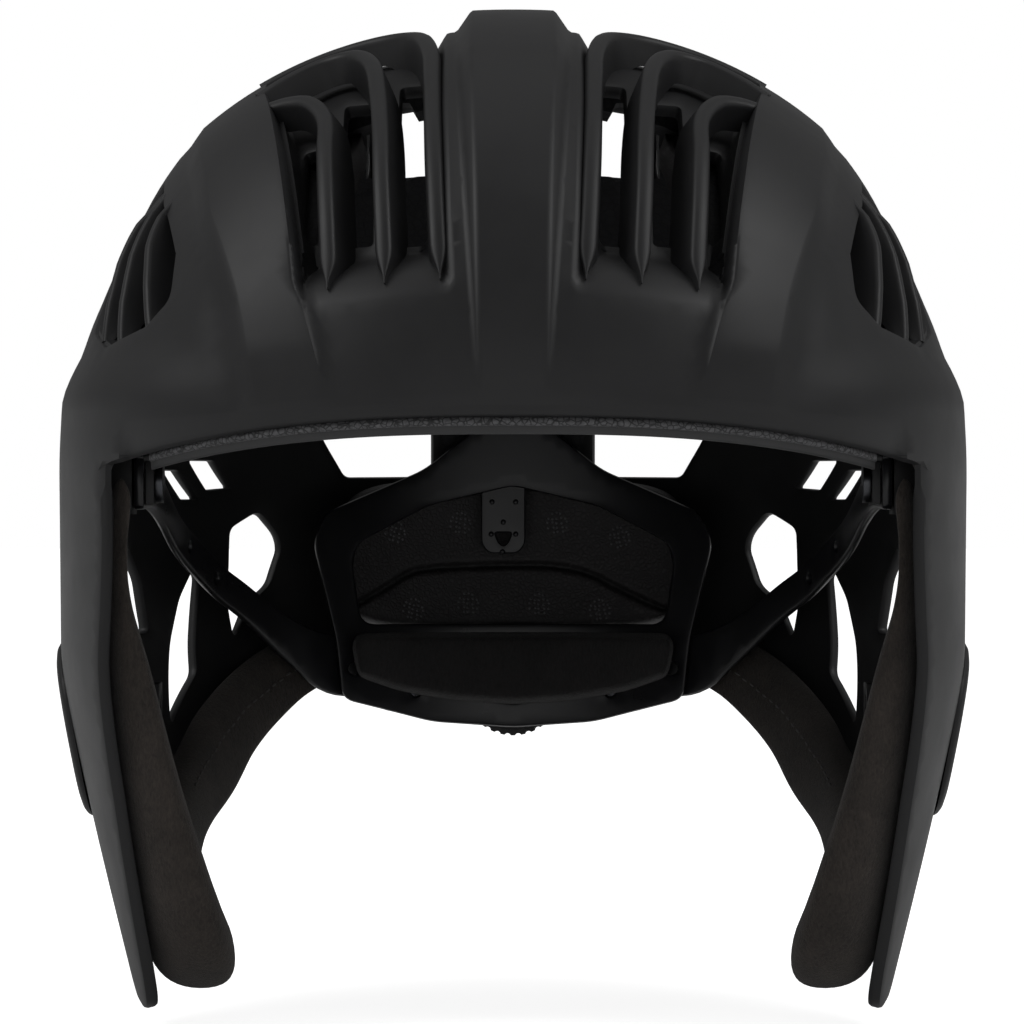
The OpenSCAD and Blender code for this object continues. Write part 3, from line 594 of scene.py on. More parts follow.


# Coated comfort cloth: a leather-like scale pressed into it, with painted shade in the groove of its sewn seam
def scaledCloth(name, colour, light):
    material, tree, shader, place = newMaterial(name)
    warp = noise(tree, place, 2.2, {"Detail": 2.0}).outputs["Color"]
    settings = {"operation": "MULTIPLY_ADD", 1: (1.1 * mm,) * 3}
    moved = addNode(tree, "ShaderNodeVectorMath", settings, {0: warp, 2: place}).outputs[0]
    scales = ranged(tree, cellEdges(tree, moved, 1.1), 0.0, 0.3)
    crease = noise(tree, place, 5, {"Detail": 5.0, "Roughness": 0.65}).outputs[0]
    both = combined(tree, "MULTIPLY_ADD", {0: crease, 2: scales}, {1: 0.8})
    plain = mixColour(tree, ranged(tree, both, 0.3, 1.6), linear(colour), linear(light))
    # painted shade: the seamShade value mixes the cloth towards near black along the sunk seam
    groove = addNode(tree, "ShaderNodeAttribute", {"attribute_name": "seamShade"})
    tree.links.new(mixColour(tree, groove.outputs["Fac"], plain, linear("#040404")), shader.inputs["Base Color"])
    relief(tree, shader, both, 0.45, 0.18)
    setInputs(shader, {"Roughness": 0.62})
    return material


# Stainless steel screw heads: turned, so the light runs in fine rings
def turnedSteel(name, colour, bright):
    material, tree, shader, place = newMaterial(name)
    rings = noise(tree, place, 0.3, {"Detail": 2.0}).outputs[0]
    tree.links.new(ranged(tree, rings, 0.0, 1.0, 0.24, 0.42), shader.inputs["Roughness"])
    paint(tree, shader, rings, colour, bright)
    setInputs(shader, {"Metallic": 1.0})
    return material


shellPlastic = mouldedPlastic("satinBlackShell", "#1e1e1f", "#242425", 0.45, 0.46, 0.02, 0.3)
coverPlastic = mouldedPlastic("satinBlackCover", "#1c1c1d", "#222223", 0.5, 0.5, 0.02, 0.3)
fitNylon = mouldedPlastic("blackNylon", "#161617", "#1c1c1d", 0.7, 0.45, 0.02, 0.3)
glossNylon = mouldedPlastic("halfGlossNylon", "#151517", "#1a1a1d", 1.2, 0.3, 0.01, 0.35)
dialGrip = mouldedPlastic("blackGripRubber", "#161617", "#1e1e1f", 0.5, 0.55)
trimVinyl = crazedTrim("crazedGreyTrim", "#626264", "#242425")
bandVinyl = mouldedPlastic("darkTrimBand", "#2a2a2b", "#343435", 0.6, 0.6)
linerFoam = beadFoam("blackBeadFoam", "#242426", "#1b1b1d")
earFabric = nappedFabric("brownBlackNap", "#191613", "#413a35")
liningCloth = nappedFabric("blackLiningJersey", "#171616", "#282626")
padCloth = scaledCloth("coatedPadCloth", "#181617", "#2a2728")
screwSteel = turnedSteel("turnedSteel", "#3a3b3d", "#55565a")
dotPrint = mouldedPlastic("greySiliconePrint", "#4a4a4c", "#606063", 0.6, 0.5)
threadPlastic = mouldedPlastic("greyThread", "#4c4a49", "#5c5a58", 0.4, 0.8)
print("materials made")

# Outer shell, one half: the top patch lies over the dome, the side patch hangs from it in the side view
shell = {"skirtRate": 0.5, "spacing": 2.6, "edgeRadius": 0.8, "seamRear": 54.0, "sunk": 2.5}
span = 1.9
brimShares = (0.0, 0.08, 0.2, 0.4, 0.65, 0.85, 1.0)
seamLine = [[5, 63], [24, 68.4], [40, 74.5], [60, 78.5], [90, 79], [130, 72], [180, 54]]
guardFront = [(-66, 55.8), (-65, 30), (-61, 0), (-55.5, -30), (-49, -57.5)]
guardTip = [(-49, -57.5), (-46.6, -62.6), (-43.6, -65.6), (-38, -66.6), (-28, -65.4)]
guardRear = [(-28, -65.4), (-14, -58.5), (6, -46), (30, -36.5), (55, -27), (77, -13), (92, -2), (103, 7), (112, 14),
             (120, 16)]
guardRearLine = curved(guardRear, 8)
airLow = 100
airX = [[18.2, 24.4], [29.9, 36.6], [42.2, 45.0]]
airTop = [136, 132, 122]
rearWindow = [(20.8, 52.4), (43, 52.2), (47.8, 60.5), (52, 69), (20.8, 69)]
crownVent = [(20, 126), (33, 125), (31.5, 144), (20, 146)]
crownSideVent = [(35.6, 128.5), (42.5, 130.5), (42, 137), (35.6, 138)]
sideWindows = [
    [(44, 22), (50, 14), (62.4, 14.6), (60, 27), (54, 35)],
    [(63.5, -8.1), (77.3, 4), (82.9, 27.8), (81.2, 29.1), (75.9, 22.1), (71.5, 12.4)],
    [(90, 12.3), (94.5, 20.6), (99.5, 25.3), (102.7, 34.2), (102.3, 38), (99, 43.5), (92.5, 39.2), (91.5, 30),
     (90, 21)]]
sideSlots = [
    [(64, 53.5), (69.3, 53.5), (76, 47.2), (70.5, 47.2)],
    [(71.5, 53.5), (77, 53.5), (83.5, 46.6), (78.2, 46.6)],
    [(81, 56), (88, 56), (92.6, 49.4), (86.4, 48.9)]]
louvreBay = [(-69.5, 84), (-73.5, 89.7), (-72, 93), (-66, 101.5), (-59, 109.3), (-46.5, 118), (-30, 121), (-22, 112),
             (-22, 96), (-34, 84), (-52, 80)]
louvreLines = [
    [(-70, 83.5), (-63, 92.8), (-54.5, 102), (-49, 109), (-45, 116.6)],
    [(-58.5, 80.6), (-53, 90), (-46, 100), (-40, 110), (-36, 118.2)],
    [(-45.5, 81.4), (-42, 90), (-36, 99), (-31, 108), (-28.4, 116.4)]]


def rearEdgeZ(x):
    # the height at which the rear wall meets the guards' lower line
    low, high = -30.0, 50.0
    ys, zs = [p.x for p in guardRearLine], [p.y for p in guardRearLine]
    for _ in range(40):
        z = (low + high) / 2
        if z > np.interp(rearPoint(x, z).y, ys, zs):
            high = z
        else:
            low = z
    return (low + high) / 2


def topPoint(x, a, d=0.0):
    return domePoint(x, a, d) if a <= 180 else rearPoint(x, form["level"] - (a - 180) / shell["skirtRate"], d)


def skirtAngle(z):
    # behind the dome's last angle the rear wall hangs down as a skirt
    return 180 + (form["level"] - z) * shell["skirtRate"]


def flat(x, a):
    return Vector((x, a * span))


def seamX(a):
    return lookup(a, seamLine)


def brimAngle(x, share):
    return angleAt(x, mix(brimZ(x), creaseZ(x), share))


def swellAt(base):
    push = lookup(base.z, sideSwell)
    return push * smooth(*swellBand["out" if push > 0 else "in"], abs(base.x))


def outerFromTop(v):
    x, a = v.x, v.y / span
    base = topPoint(x, a)
    swell = formNormal(base) * swellAt(base)
    if base.y < 0 and base.z < creaseZ(x) - 1e-6:
        return frontPoint(x, base.z, rollDepth(x, base.z)) + swell, base + swell
    return topPoint(x, a, -domeHeight(x, a)) + swell, base + swell


def skinPairs(verts, away, place):
    pairs = []
    for v, distance in zip(verts, away):
        outer, base = place(v)
        normal = formNormal(base)
        cut = edgeRound(max(0.0, distance), shell["edgeRadius"])
        # the wall's back follows the bays, but not the brim's lip
        back = (outer if (base - outer).dot(normal) > shell["sunk"] else base) - normal * form["wall"]
        pairs.append((outer - normal * cut, back + normal * cut))
    return pairs


skin = Skin()
# top patch: its outline runs along the brim, the seam, the rear edge and the middle, which meets the brim's lines too
brimLines = []
for share in brimShares:
    a = 5.0
    for _ in range(30):
        xs = seamX(a)
        a = brimAngle(xs, share)
    brimLines.append([flat(i * 2.0, brimAngle(i * 2.0, share)) for i in range(31)] + [flat(xs, a)])
seam = [line[-1] for line in brimLines]
seam += [flat(seamX(a), a) for a in np.linspace(seam[-1].y / span, 180, 118)[1:]]
rearA = skirtAngle(rearEdgeZ(shell["seamRear"]))
seam += [flat(shell["seamRear"], a) for a in np.linspace(180, rearA, 24)[1:]]
rearXs = [shell["seamRear"] - 2.5 * i for i in range(1, 21)] + [0.0]
rearEdge = [flat(x, skirtAngle(rearEdgeZ(x))) for x in rearXs]
brimStart, starts = brimLines[0][0].y, [line[0] for line in brimLines[1:]]
middle = [flat(0, a) for a in np.linspace(rearEdge[-1].y / span, brimStart / span, 170)[1:-1]]
middle = [p for p in sorted(middle + starts, key=lambda p: -p.y)
          if p.y > brimStart + 1e-3 and all(p is q or abs(p.y - q.y) > 0.6 for q in starts)]
outline = brimLines[0] + seam[1:] + rearEdge + middle
lines = [line[:] for line in brimLines[1:]]


def alongAngle(offset, rows, start, end, step=1.6):
    count = max(2, int((end - start) / step))
    return [flat(lookup(a, rows) + offset, a) for a in np.linspace(start, end, count)]


feet = [(a, lookup(a, crestLine) + crest["foot"] * crestRise(a) / crest["rise"] * 0.82)
        for a in np.linspace(12, 168, 60)]
floorIn = [(a, lookup(a, crestLine) + bay["gap"]) for a in range(9, 152)]
# edges where the form bends: beside a line, at these distances, from one angle to another
bends = [(crestLine, (-1.1, -0.35, 0.35), 9.6, 171), (feet, (-0.6, 0.2, 1.0), 12.5, 168),
         (floorIn, (-0.7, 0, 0.7), 21.8, 150), (floorIn, (3.0, 4.6, 5.4, 6.3), 29.5, 150),
         (ridgeIn, (-6.3, -5.4, -4.6, -3.0, -1.6), 29.5, 149), (ridgeIn, (-0.7, 0.1, 0.9), 11, 150)]
for rows, offsets, start, end in bends:
    lines += [alongAngle(offset, rows, start, end) for offset in offsets]
# the walls' feet spread as the sill falls
sillAngles = np.linspace(22.6, 29.2, 12)
for offset in (-0.6, 0.2):
    for rows, sign in ((floorIn, 1), (ridgeIn, -1)):
        lines.append([flat(lookup(a, rows) + sign * (bay["slope"] * floorDepth(a) + 0.4 - offset), a)
                      for a in sillAngles])
for offset in (-0.45, 0.05, 1.4, 2.9, 3.6):
    lines.append(alongAngle(offset, ridgeOut, 10.5, 108))
for a in (20.0, 21.2, 22.4, 23.6, 24.8, 26.0, 27.2, 28.6, 29.4):
    lines.append([flat(x, a) for x in np.linspace(lookup(a, crestLine) + 4.2, lookup(a, ridgeIn) + 0.4, 24)])


def frontHole(path, depth, behind=False, corner=1.6):
    return [flat(p.x, angleAt(p.x, p.y, depth, behind)) for p in softLoop(path, corner, 1.2)]


topHoles = []
for (x0, x1), top in zip(airX, airTop):
    corners = [(x0, airLow), (x1, airLow - 0.5), (x1 + 0.3, top - 0.6), (x0 + 0.3, top)]
    topHoles.append(frontHole(corners, bay["depth"], False, 1.0))
for window, corner in ((rearWindow, 1.4), (crownVent, 2), (crownSideVent, 1.2)):
    topHoles.append(frontHole(window, 0, True, corner))
trueEdges = list(zip(rearEdge, rearEdge[1:])) + [(seam[-1], rearEdge[0])] + loopEdges(topHoles)
verts, tris, away = patch(outline, topHoles, lines, shell["spacing"], trueEdges)
skin.triangles(skinPairs(verts, away, outerFromTop), tris)
print("top patch", len(tris))


# side patch in the side view (y, z)
def sideFlat(p):
    return Vector((p.y, p.z))


def outerFromSide(v):
    base = sidePoint(v.x, v.y)
    swell = formNormal(base) * swellAt(base)
    if v.x < brim["cornerY"] + 0.01 and v.y < creaseZ(base.x) - 1e-6 and base.x < brim["cornerX"]:
        return frontPoint(base.x, base.z, rollDepth(base.x, base.z)) + swell, base + swell
    return base + swell, base + swell


seamSide = [sideFlat(topPoint(p.x, p.y / span)) for p in seam]
cornerX = 80.0
for _ in range(40):
    cornerX = sidePoint(brim["cornerY"], brimZ(cornerX)).x
sideBrim = []
for line, share in zip(brimLines, brimShares):
    xEnd = cornerX
    for _ in range(40):
        xEnd = sidePoint(brim["cornerY"], mix(brimZ(xEnd), creaseZ(xEnd), share)).x
    xs = np.linspace(line[-1].x, xEnd, 13)
    sideBrim.append([sideFlat(frontPoint(x, mix(brimZ(x), creaseZ(x), share))) for x in xs])
rearPart = [p for p in guardRearLine if p.x < seamSide[-1].x - 1.5]
guardLoop = resample(rearPart[::-1], 2.2) + resample(curved(guardTip, 5)[::-1], 1.2)[1:]
guardLoop += resample(curved(guardFront, 8)[::-1], 2.2)[1:]
guardLoop[-1] = sideBrim[0][-1].copy()
sideOutline = seamSide[:1] + sideBrim[0][1:] + guardLoop[::-1][1:] + seamSide[:0:-1]
sideHoles = [softLoop(w, 1.8, 1.2) for w in sideWindows]
sideHoles += [softLoop(w, 0.5, 1.0, 2) for w in sideSlots]
earOpening = {"middle": (4, -6), "length": 52, "height": 34, "power": 0.8}


def earRing(grow, count=96, scale=1.0):
    half = (earOpening["length"] / 2 * scale + grow, earOpening["height"] / 2 * scale + grow)
    return roundedLoop(earOpening["middle"], half, earOpening["power"], count)


sideHoles.append(earRing(0, 72))
bayRim = softLoop(louvreBay, 1.6, 1.2)
sideHoles.append(bayRim)
sideLines = [line[:] for line in sideBrim[1:]]


def insetLine(path, amount):
    out = []
    for i in range(1, len(path) - 1):
        along = (path[i + 1] - path[i - 1]).normalized()
        out.append(path[i] + Vector((along.y, -along.x)) * amount)
    return out


# guardLoop runs from the rear to the brim, so the guard lies on its right
for amount in (0.3, 0.9):
    sideLines.append(insetLine(guardLoop, amount)[1:-2])
sideEdges = list(zip(guardLoop, guardLoop[1:])) + loopEdges(sideHoles[:-2] + [sideHoles[-1]])
verts, tris, away = patch(sideOutline, sideHoles, sideLines, shell["spacing"] * 1.15, sideEdges)
skin.triangles(skinPairs(verts, away, outerFromSide), tris)
print("side patch", len(tris))

# louvre pocket: walls straight in (inset, depth, how far the wall's back stands out), then a floor with two air ways
pocket = {"depth": 7.0, "back": 10.0, "wall": 2.6, "edgeRadius": 0.6}
pocketSteps = [(0.0, 2.4, 2.4), (0.0, 4.8, 3.0), (0.3, 6.4, 3.0), (1.0, pocket["depth"], 2.6)]


def rimPair(p):
    base = sidePoint(p.x, p.y)
    normal = formNormal(base)
    base = base + normal * swellAt(base)
    return (base - normal * edgeRound(0.0, shell["edgeRadius"]), base - normal * (form["wall"] - shell["edgeRadius"]))


rings = [[rimPair(p) for p in bayRim]]
for inset, depth, out in pocketSteps:
    backDepth = min(pocket["back"], depth + pocket["wall"])
    rings.append([(sidePoint(p.x, p.y, depth), sidePoint(q.x, q.y, backDepth))
                  for p, q in zip(grown(bayRim, -inset), grown(bayRim, out))])
for a, b in zip(rings, rings[1:]):
    n = len(a)
    for i in range(n):
        j = (i + 1) % n
        skin.triangles([a[i], a[j], b[j], b[i]], [(0, 1, 2), (0, 2, 3)])
floorLoop = grown(bayRim, -1.0)
floorHoles = []
airWayCorners = ((1, 0.35), (1, 0.65), (3, 0.65), (3, 0.35))
for first, second in zip(louvreLines, louvreLines[1:]):
    quad = [mix(Vector(first[k]), Vector(second[k]), share) for k, share in airWayCorners]
    floorHoles.append(softLoop(quad, 1.2, 1.2))
verts, tris, away = patch(floorLoop, floorHoles, [], 3.2, loopEdges(floorHoles))
pairs = []
for v, distance in zip(verts, away):
    cut = edgeRound(max(0.0, distance), pocket["edgeRadius"])
    pairs.append((sidePoint(v.x, v.y, pocket["depth"] + cut), sidePoint(v.x, v.y, pocket["back"] - cut)))
for i, ringPair in enumerate(rings[-1]):
    best = min(range(len(verts)), key=lambda k: (verts[k] - floorLoop[i]).length)
    pairs[best] = ringPair
skin.triangles(pairs, tris)
points, faces = skin.closed()
print("shell skin", len(faces))


# Fins and louvres: blades with a round front edge, as deep as their list of depths says
finLines = [
    [(15.2, 22.2), (15.9, 28), (16.7, 38), (17.3, 48), (17.7, 58), (18.4, 67), (21.4, 75), (28, 79.5), (38, 81.5),
     (48, 81.5), (57.2, 81)],
    [(26.9, 22.2), (27.4, 28), (28.2, 38), (28.7, 48), (29.6, 57), (31.2, 65.5), (35, 71.5), (41, 73.8), (48.5, 73),
     (57, 70.6)],
    [(39.0, 22.4), (39.4, 28), (40.2, 37), (40.8, 46), (41.2, 53.5), (45, 59.5), (50, 62.3), (56, 64)]]
fin = {"thick": 5.0, "tip": 0.06, "taper": 0.9, "root": 10.2, "arm": 6.6, "foot": 1.6, "end": 5.4, "steps": 7,
       "stand": 1.8, "nose": 0.78, "draft": 1.25, "sunk": 0.3}
louvre = {"thick": 3.6, "depth": 7.8, "foot": 2.0, "nose": 0.7, "draft": 1.1, "sunk": 0.2, "steps": 7}
louvreStand = [-0.3, 1.4, 2.0, 1.5, -0.7]
noseSteps = 9


def bladeRings(path, normals, depths, widths, blade):
    rings = []
    for i, p in enumerate(path):
        along = (path[min(len(path) - 1, i + 1)] - path[max(0, i - 1)]).normalized()
        n = normals[i]
        u = n.cross(along).normalized()
        h = widths[i] / 2
        foot = depths[i] * 0.45 + 0.7
        ring = [p + u * h * blade["draft"] - n * depths[i], p + u * h - n * foot]
        for k in range(noseSteps):
            w = math.pi * k / (noseSteps - 1)
            ring.append(p + u * h * blade["nose"] * signedPower(math.cos(w), 0.7) + n * h * (0.62 * math.sin(w) - 0.62))
        ring += [p - u * h - n * foot, p - u * h * blade["draft"] - n * depths[i]]
        rings.append(ring)
    return rings


def spreadAlong(values, steps):
    # a list with one value for each point of a line, carried over to its curve
    count = (len(values) - 1) * steps + 1
    return [float(np.interp(i / steps, range(len(values)), values)) for i in range(count)]


def addBlade(points, faces, rings, side):
    if side < 0:
        rings = [[Vector((-p.x, p.y, p.z)) for p in reversed(ring)] for ring in rings]
    start = len(points)
    for ring in rings:
        points.extend(ring)
    faces.extend(loftFaces(len(rings), len(rings[0]), start))


for side in (1, -1):
    for line in finLines:
        stations = curved(line, fin["steps"])
        depths = [fin["foot"]] + [fin["root"]] * (len(line) - 5) + [fin["arm"]] * 3 + [fin["end"]]
        sunk = [fin["sunk"] * (1 - clamp((q.y - 24) / 10)) - fin["stand"] * clamp((q.y - 52) / 20) for q in stations]
        path = [domePoint(q.x, q.y, d) for q, d in zip(stations, sunk)]
        tapers = [smooth(0, fin["taper"], i / fin["steps"]) for i in range(len(path))]
        widths = [fin["thick"] * mix(fin["tip"], 1, taper) for taper in tapers]
        normals = [formNormal(p) for p in path]
        addBlade(points, faces, bladeRings(path, normals, spreadAlong(depths, fin["steps"]), widths, fin), side)
    for line in louvreLines:
        path = [sidePoint(q.x, q.y, louvre["sunk"]) for q in curved(line, louvre["steps"])]
        normals = [formNormal(p) for p in path]
        proud = spreadAlong(louvreStand, louvre["steps"])
        path = [p + n * (swellAt(p) + up) for p, n, up in zip(path, normals, proud)]
        depths = spreadAlong([louvre["foot"]] + [louvre["depth"]] * 3 + [louvre["foot"]], louvre["steps"])
        addBlade(points, faces, bladeRings(path, normals, depths, [louvre["thick"]] * len(path), louvre), side)

shellObject = meshObject("ventedShell", points, faces, 38)
dressNode(shellObject, shellPlastic, "outer_shell")
print("shell made", len(shellObject.data.polygons))

# Edge trim: a crazed bead under the brim's edge, and a darker band below and behind it
trim = {"bead": 2.7, "band": 4.05, "reach": 78, "step": 1.5}
beadSection = [(1.0, 1.4), (0.1, 1.2), (-0.3, 0.5), (-0.7, 0.12), (-1.2, 0.0), (-1.65, 0.2), (-2.0, 0.7), (-2.1, 1.4),
               (-2.1, 3.4), (1.0, 3.4)]
bandSection = [(2.0, 1.4), (-1.6, 1.4), (-2.2, 1.6), (-3.3, 1.9), (-3.7, 2.3), (-3.8, 2.9), (-3.8, 5.0), (-3.5, 5.6),
               (3.6, 5.8)]
count = int(2 * trim["reach"] / trim["step"])
trimXs = [mix(-trim["reach"], trim["reach"], i / count) for i in range(count + 1)]
for name, section, depth, material in (("brimTrimBead", beadSection, trim["bead"], trimVinyl),
                                       ("brimTrimBand", bandSection, trim["band"], bandVinyl)):
    rings = [[frontPoint(x, brimZ(x) + dz, depth + dd) for dz, dd in section] for x in trimXs]
    dressNode(loftObject(name, rings, 50), material, "brim_trim")
print("trim made")

# Ear covers: a stepped plug whose flange lies on the guard, with a shallow dish in its middle
coverSteps = [(-0.5, 0.35, 2.6), (-0.5, 1, 2.6), (-0.5, 1, -0.3), (2.6, 1, -0.3), (3.0, 1, -0.45), (3.0, 1, -0.9),
              (2.7, 1, -1.35), (1.9, 1, -1.8), (0.6, 0.99, -2.0), (-0.6, 0.97, -1.98), (-1.4, 0.93, -1.7),
              (-1.9, 0.88, -1.3), (-2.2, 0.8, -1.15), (0, 0.35, -1.1)]
for side, word in sides:
    rings = [[sidePoint(p.x, p.y, d, side) for p in earRing(grow, 96, scale)] for grow, scale, d in coverSteps]
    dressNode(loftObject("earCover" + word.capitalize(), rings, 35), coverPlastic, "ear_cover_" + word)
print("ear covers made")


# Pads: each starts from its own form or solid, a little smaller, and is swollen by cloth under pressure
earPadKind = {"voxel": 0, "cap": 1.6, "calm": 1, "cloth": earFabric, "fill": 0.8, "levels": 1}
pads = {
    "ear_pad_left": earPadKind, "ear_pad_right": earPadKind,
    "brow_pad": {"voxel": 2.4, "cap": 1.2, "calm": 3, "cloth": liningCloth, "fill": 0.6, "levels": 1},
    "crown_pads": {"voxel": 2.4, "cap": 1.4, "calm": 3, "cloth": padCloth, "fill": 0.6, "levels": 1},
    "nape_pad": {"voxel": 0, "cap": 0.8, "calm": 1, "cloth": padCloth, "fill": 0.6, "levels": 2},
    "occipital_pad": {"voxel": 0, "cap": 0.8, "calm": 1, "cloth": liningCloth, "fill": 0.6, "levels": 1}}
swell = {"pressure": 2.0, "tension": 20, "bending": 0.4, "shrink": 0.5, "frames": 20}
# the nape pad's sewn seam, seen from the front (x, z), and how it sinks in
napeSeam = {"line": [(-42, 18.6), (-32.5, 24.2), (-26, 28.2), (-21, 29.4), (-10, 30.1), (0, 30.3), (10, 30.1),
                     (19, 28.2), (26.5, 24.4), (36, 20), (42, 18)],
            "deep": 1.5, "wide": 0.75}


def merged(node):
    # a copy of a node's loose triangles, its doubles merged
    mesh = nodes[node].data.copy()
    mesh.transform(nodes[node].matrix_world)
    bm = bmesh.new()
    bm.from_mesh(mesh)
    bmesh.ops.remove_doubles(bm, verts=bm.verts, dist=2e-6)
    bm.to_mesh(mesh)
    bm.free()
    mesh.materials.clear()
    return mesh


def layered(name, outline, holes, lines, spacing, place, heights):
    # a closed plate over a surface: place(v, 0 or 1, away) gives its front and back points
    edges = loopEdges([outline] + holes)
    insets = [grown(outline, -amount) for amount in lines]
    verts, tris, away = patch(outline, holes, [loop + loop[:1] for loop in insets], spacing, edges)
    count, used = len(verts), {}
    levels = [heights(max(0.0, d)) for d in away]
    points = [place(v, level[face]) for face in (0, 1) for v, level in zip(verts, levels)]
    for a, b, c in tris:
        used.update({(a, b): True, (b, c): True, (c, a): True})
    walls = [(b, a, a + count, b + count) for a, b in used if (b, a) not in used]
    faces = list(tris) + [tuple(i + count for i in reversed(t)) for t in tris] + walls
    obj = meshObject(name, points, faces, 35)
    pointFaces(obj.data)
    return obj


def crowned(thick, edge):
    # a pad's flat back and its face, which rises over a round edge
    def heights(away):
        share = clamp(away / edge)
        return thick * math.sqrt(1 - (1 - share) ** 2) + 0.05, 0.0
    return heights


# Ear pad: its line in the side view, with its width and its share of the full thickness at each point
earLine = [
    (-58.2, 51.5, 4.5, 0.18), (-56.6, 45.5, 7, 0.2), (-54.5, 36, 9, 0.18), (-54, 24, 11, 0.2), (-52, 8, 15, 0.42),
    (-49, -20, 17, 0.6), (-44.5, -40, 20, 0.8), (-36, -51, 22.5, 0.98), (-21, -51, 22.5, 1), (-4, -45.5, 20, 0.9),
    (14, -38, 16.5, 0.75), (34, -29, 15, 0.62), (54, -20, 15, 0.5), (68, -10.5, 14, 0.4), (79, -3, 13, 0.33),
    (87, 2.6, 12, 0.28), (94, 7.4, 11, 0.26), (100, 12, 8, 0.18)]
earPad = {"thick": 20.0, "seat": 4.3, "steps": 6, "around": 20}


def earPadStart(name, side):
    stations = curved(earLine, earPad["steps"])
    rings = []
    for i, q in enumerate(stations):
        ahead, behind = stations[min(i + 1, len(stations) - 1)], stations[max(i - 1, 0)]
        along = Vector((ahead[0] - behind[0], ahead[1] - behind[1])).normalized()
        close = min(1.0, math.sqrt(min(i, len(stations) - 1 - i) / 4 + 0.06))
        ring = []
        for k in range(earPad["around"]):
            w = 2 * math.pi * k / earPad["around"]
            c, u = math.cos(w), math.sin(w)
            off = q[2] / 2 * close * signedPower(c, 0.75)
            up = earPad["thick"] * q[3] * (0.5 + 0.5 * close * signedPower(u, 0.8))
            ring.append(sidePoint(q[0] - along.y * off, q[1] + along.x * off, earPad["seat"] + up, side))
        rings.append(ring)
    return loftObject(name, rings, 60)


yoke = {"radius": 75.0, "middle": 25.0, "thick": 2.2}


def yokePoint(v, d):
    # d is measured from the yoke's inner face, outwards
    return Vector((v.x, yoke["middle"] + math.sqrt((yoke["radius"] + d) ** 2 - v.x ** 2), v.y))


def halfOutline(path):
    # a right half and its mirror image
    return [Vector(p) for p in path] + [Vector((-x, y)) for x, y in reversed(path) if x > 0.01]


occipitalLine = [(0, 14.2), (38.5, 14.2), (40.3, 11), (38.6, 2.6), (28, -1.3), (14, -3.8), (0, -4.7)]
napeBox = {"half": (43.5, 19.5), "middle": 32.6, "power": 0.42, "base": 5.1, "thick": 6.4}


def padStart(node):
    name = camelName(node)
    if node.startswith("ear_pad"):
        return earPadStart(name, 1 if node.endswith("right") else -1)
    if node == "nape_pad":
        loop = roundedLoop((0, napeBox["middle"]), napeBox["half"], napeBox["power"], 120)
        return layered(name, resample(loop, 1.6, True), [], (0.6, 1.4, 2.6), 2.4,
                       lambda v, h: rearPoint(v.x, v.y, napeBox["base"] + h), crowned(napeBox["thick"], 3.2))
    if node == "occipital_pad":
        loop = softLoop(halfOutline(occipitalLine), 2.4, 1.4)
        return layered(name, loop, [], (0.5, 1.2, 2.2), 2.4, lambda v, h: yokePoint(v, -0.3 - h), crowned(6.0, 2.6))
    return linked(name, merged(node))


def plumpPad(node, pad):
    obj = padStart(node)
    if pad["voxel"]:
        remesh = obj.modifiers.new("remesh", "REMESH")
        remesh.mode, remesh.voxel_size = "VOXEL", pad["voxel"] * mm
        settle(obj)
    bm = bmesh.new()
    bm.from_mesh(obj.data)
    for _ in range(pad["calm"]):
        bmesh.ops.smooth_vert(bm, verts=bm.verts, factor=0.5, use_axis_x=True, use_axis_y=True, use_axis_z=True)
    bm.normal_update()
    for v in bm.verts:
        v.co -= v.normal * swell["shrink"] * mm
    bm.to_mesh(obj.data)
    bm.free()
    start = [v.co.copy() for v in obj.data.vertices]
    cloth = obj.modifiers.new("cloth", "CLOTH")
    cloth.settings.use_pressure = True
    cloth.settings.uniform_pressure_force = swell["pressure"]
    cloth.settings.effector_weights.gravity = 0
    cloth.settings.tension_stiffness = swell["tension"]
    cloth.settings.bending_stiffness = swell["bending"]
    cloth.settings.quality = 5
    cloth.point_cache.frame_start, cloth.point_cache.frame_end = 1, swell["frames"]
    for step in range(1, swell["frames"] + 1):
        scene.frame_set(step)
    settle(obj)
    scene.frame_set(1)
    for v, before in zip(obj.data.vertices, start):
        move = v.co - before
        if move.length > pad["cap"] * mm:
            v.co = before + move.normalized() * pad["cap"] * mm
    finer = obj.modifiers.new("finer", "SUBSURF")
    finer.levels = finer.render_levels = pad["levels"]
    settle(obj)
    return obj


def sewSeam(obj, seam):
    # vertices by the seam sink, and a value kept on them paints shade into the groove
    line = curved(seam["line"], 8)
    points = np.array([(v.co.x / mm, v.co.z / mm) for v in obj.data.vertices])
    away = distanceTo(points, list(zip(line, line[1:])))
    shade = obj.data.attributes.new("seamShade", "FLOAT", "POINT")
    normals = [v.normal.copy() for v in obj.data.vertices]
    for v, distance, normal in zip(obj.data.vertices, away, normals):
        if normal.y < -0.2:
            share = math.exp(-(distance / seam["wide"]) ** 2)
            v.co -= normal * seam["deep"] * share * mm
            shade.data[v.index].value = share


padObjects = {}
for node, pad in pads.items():
    padObjects[node] = plumpPad(node, pad)
    if node == "nape_pad":
        sewSeam(padObjects[node], napeSeam)
    dressNode(padObjects[node], pad["cloth"], node)
    print("pad", padObjects[node].name, len(padObjects[node].data.polygons))


def surfacePoint(obj, x, z, fromY=-20):
    # where a line from the front meets a piece
    tree = BVHTree.FromPolygons([v.co for v in obj.data.vertices], [p.vertices[:] for p in obj.data.polygons])
    hit = tree.ray_cast(Vector((x * mm, fromY * mm, z * mm)), Vector((0, 1, 0)))
    return hit[0], hit[1]


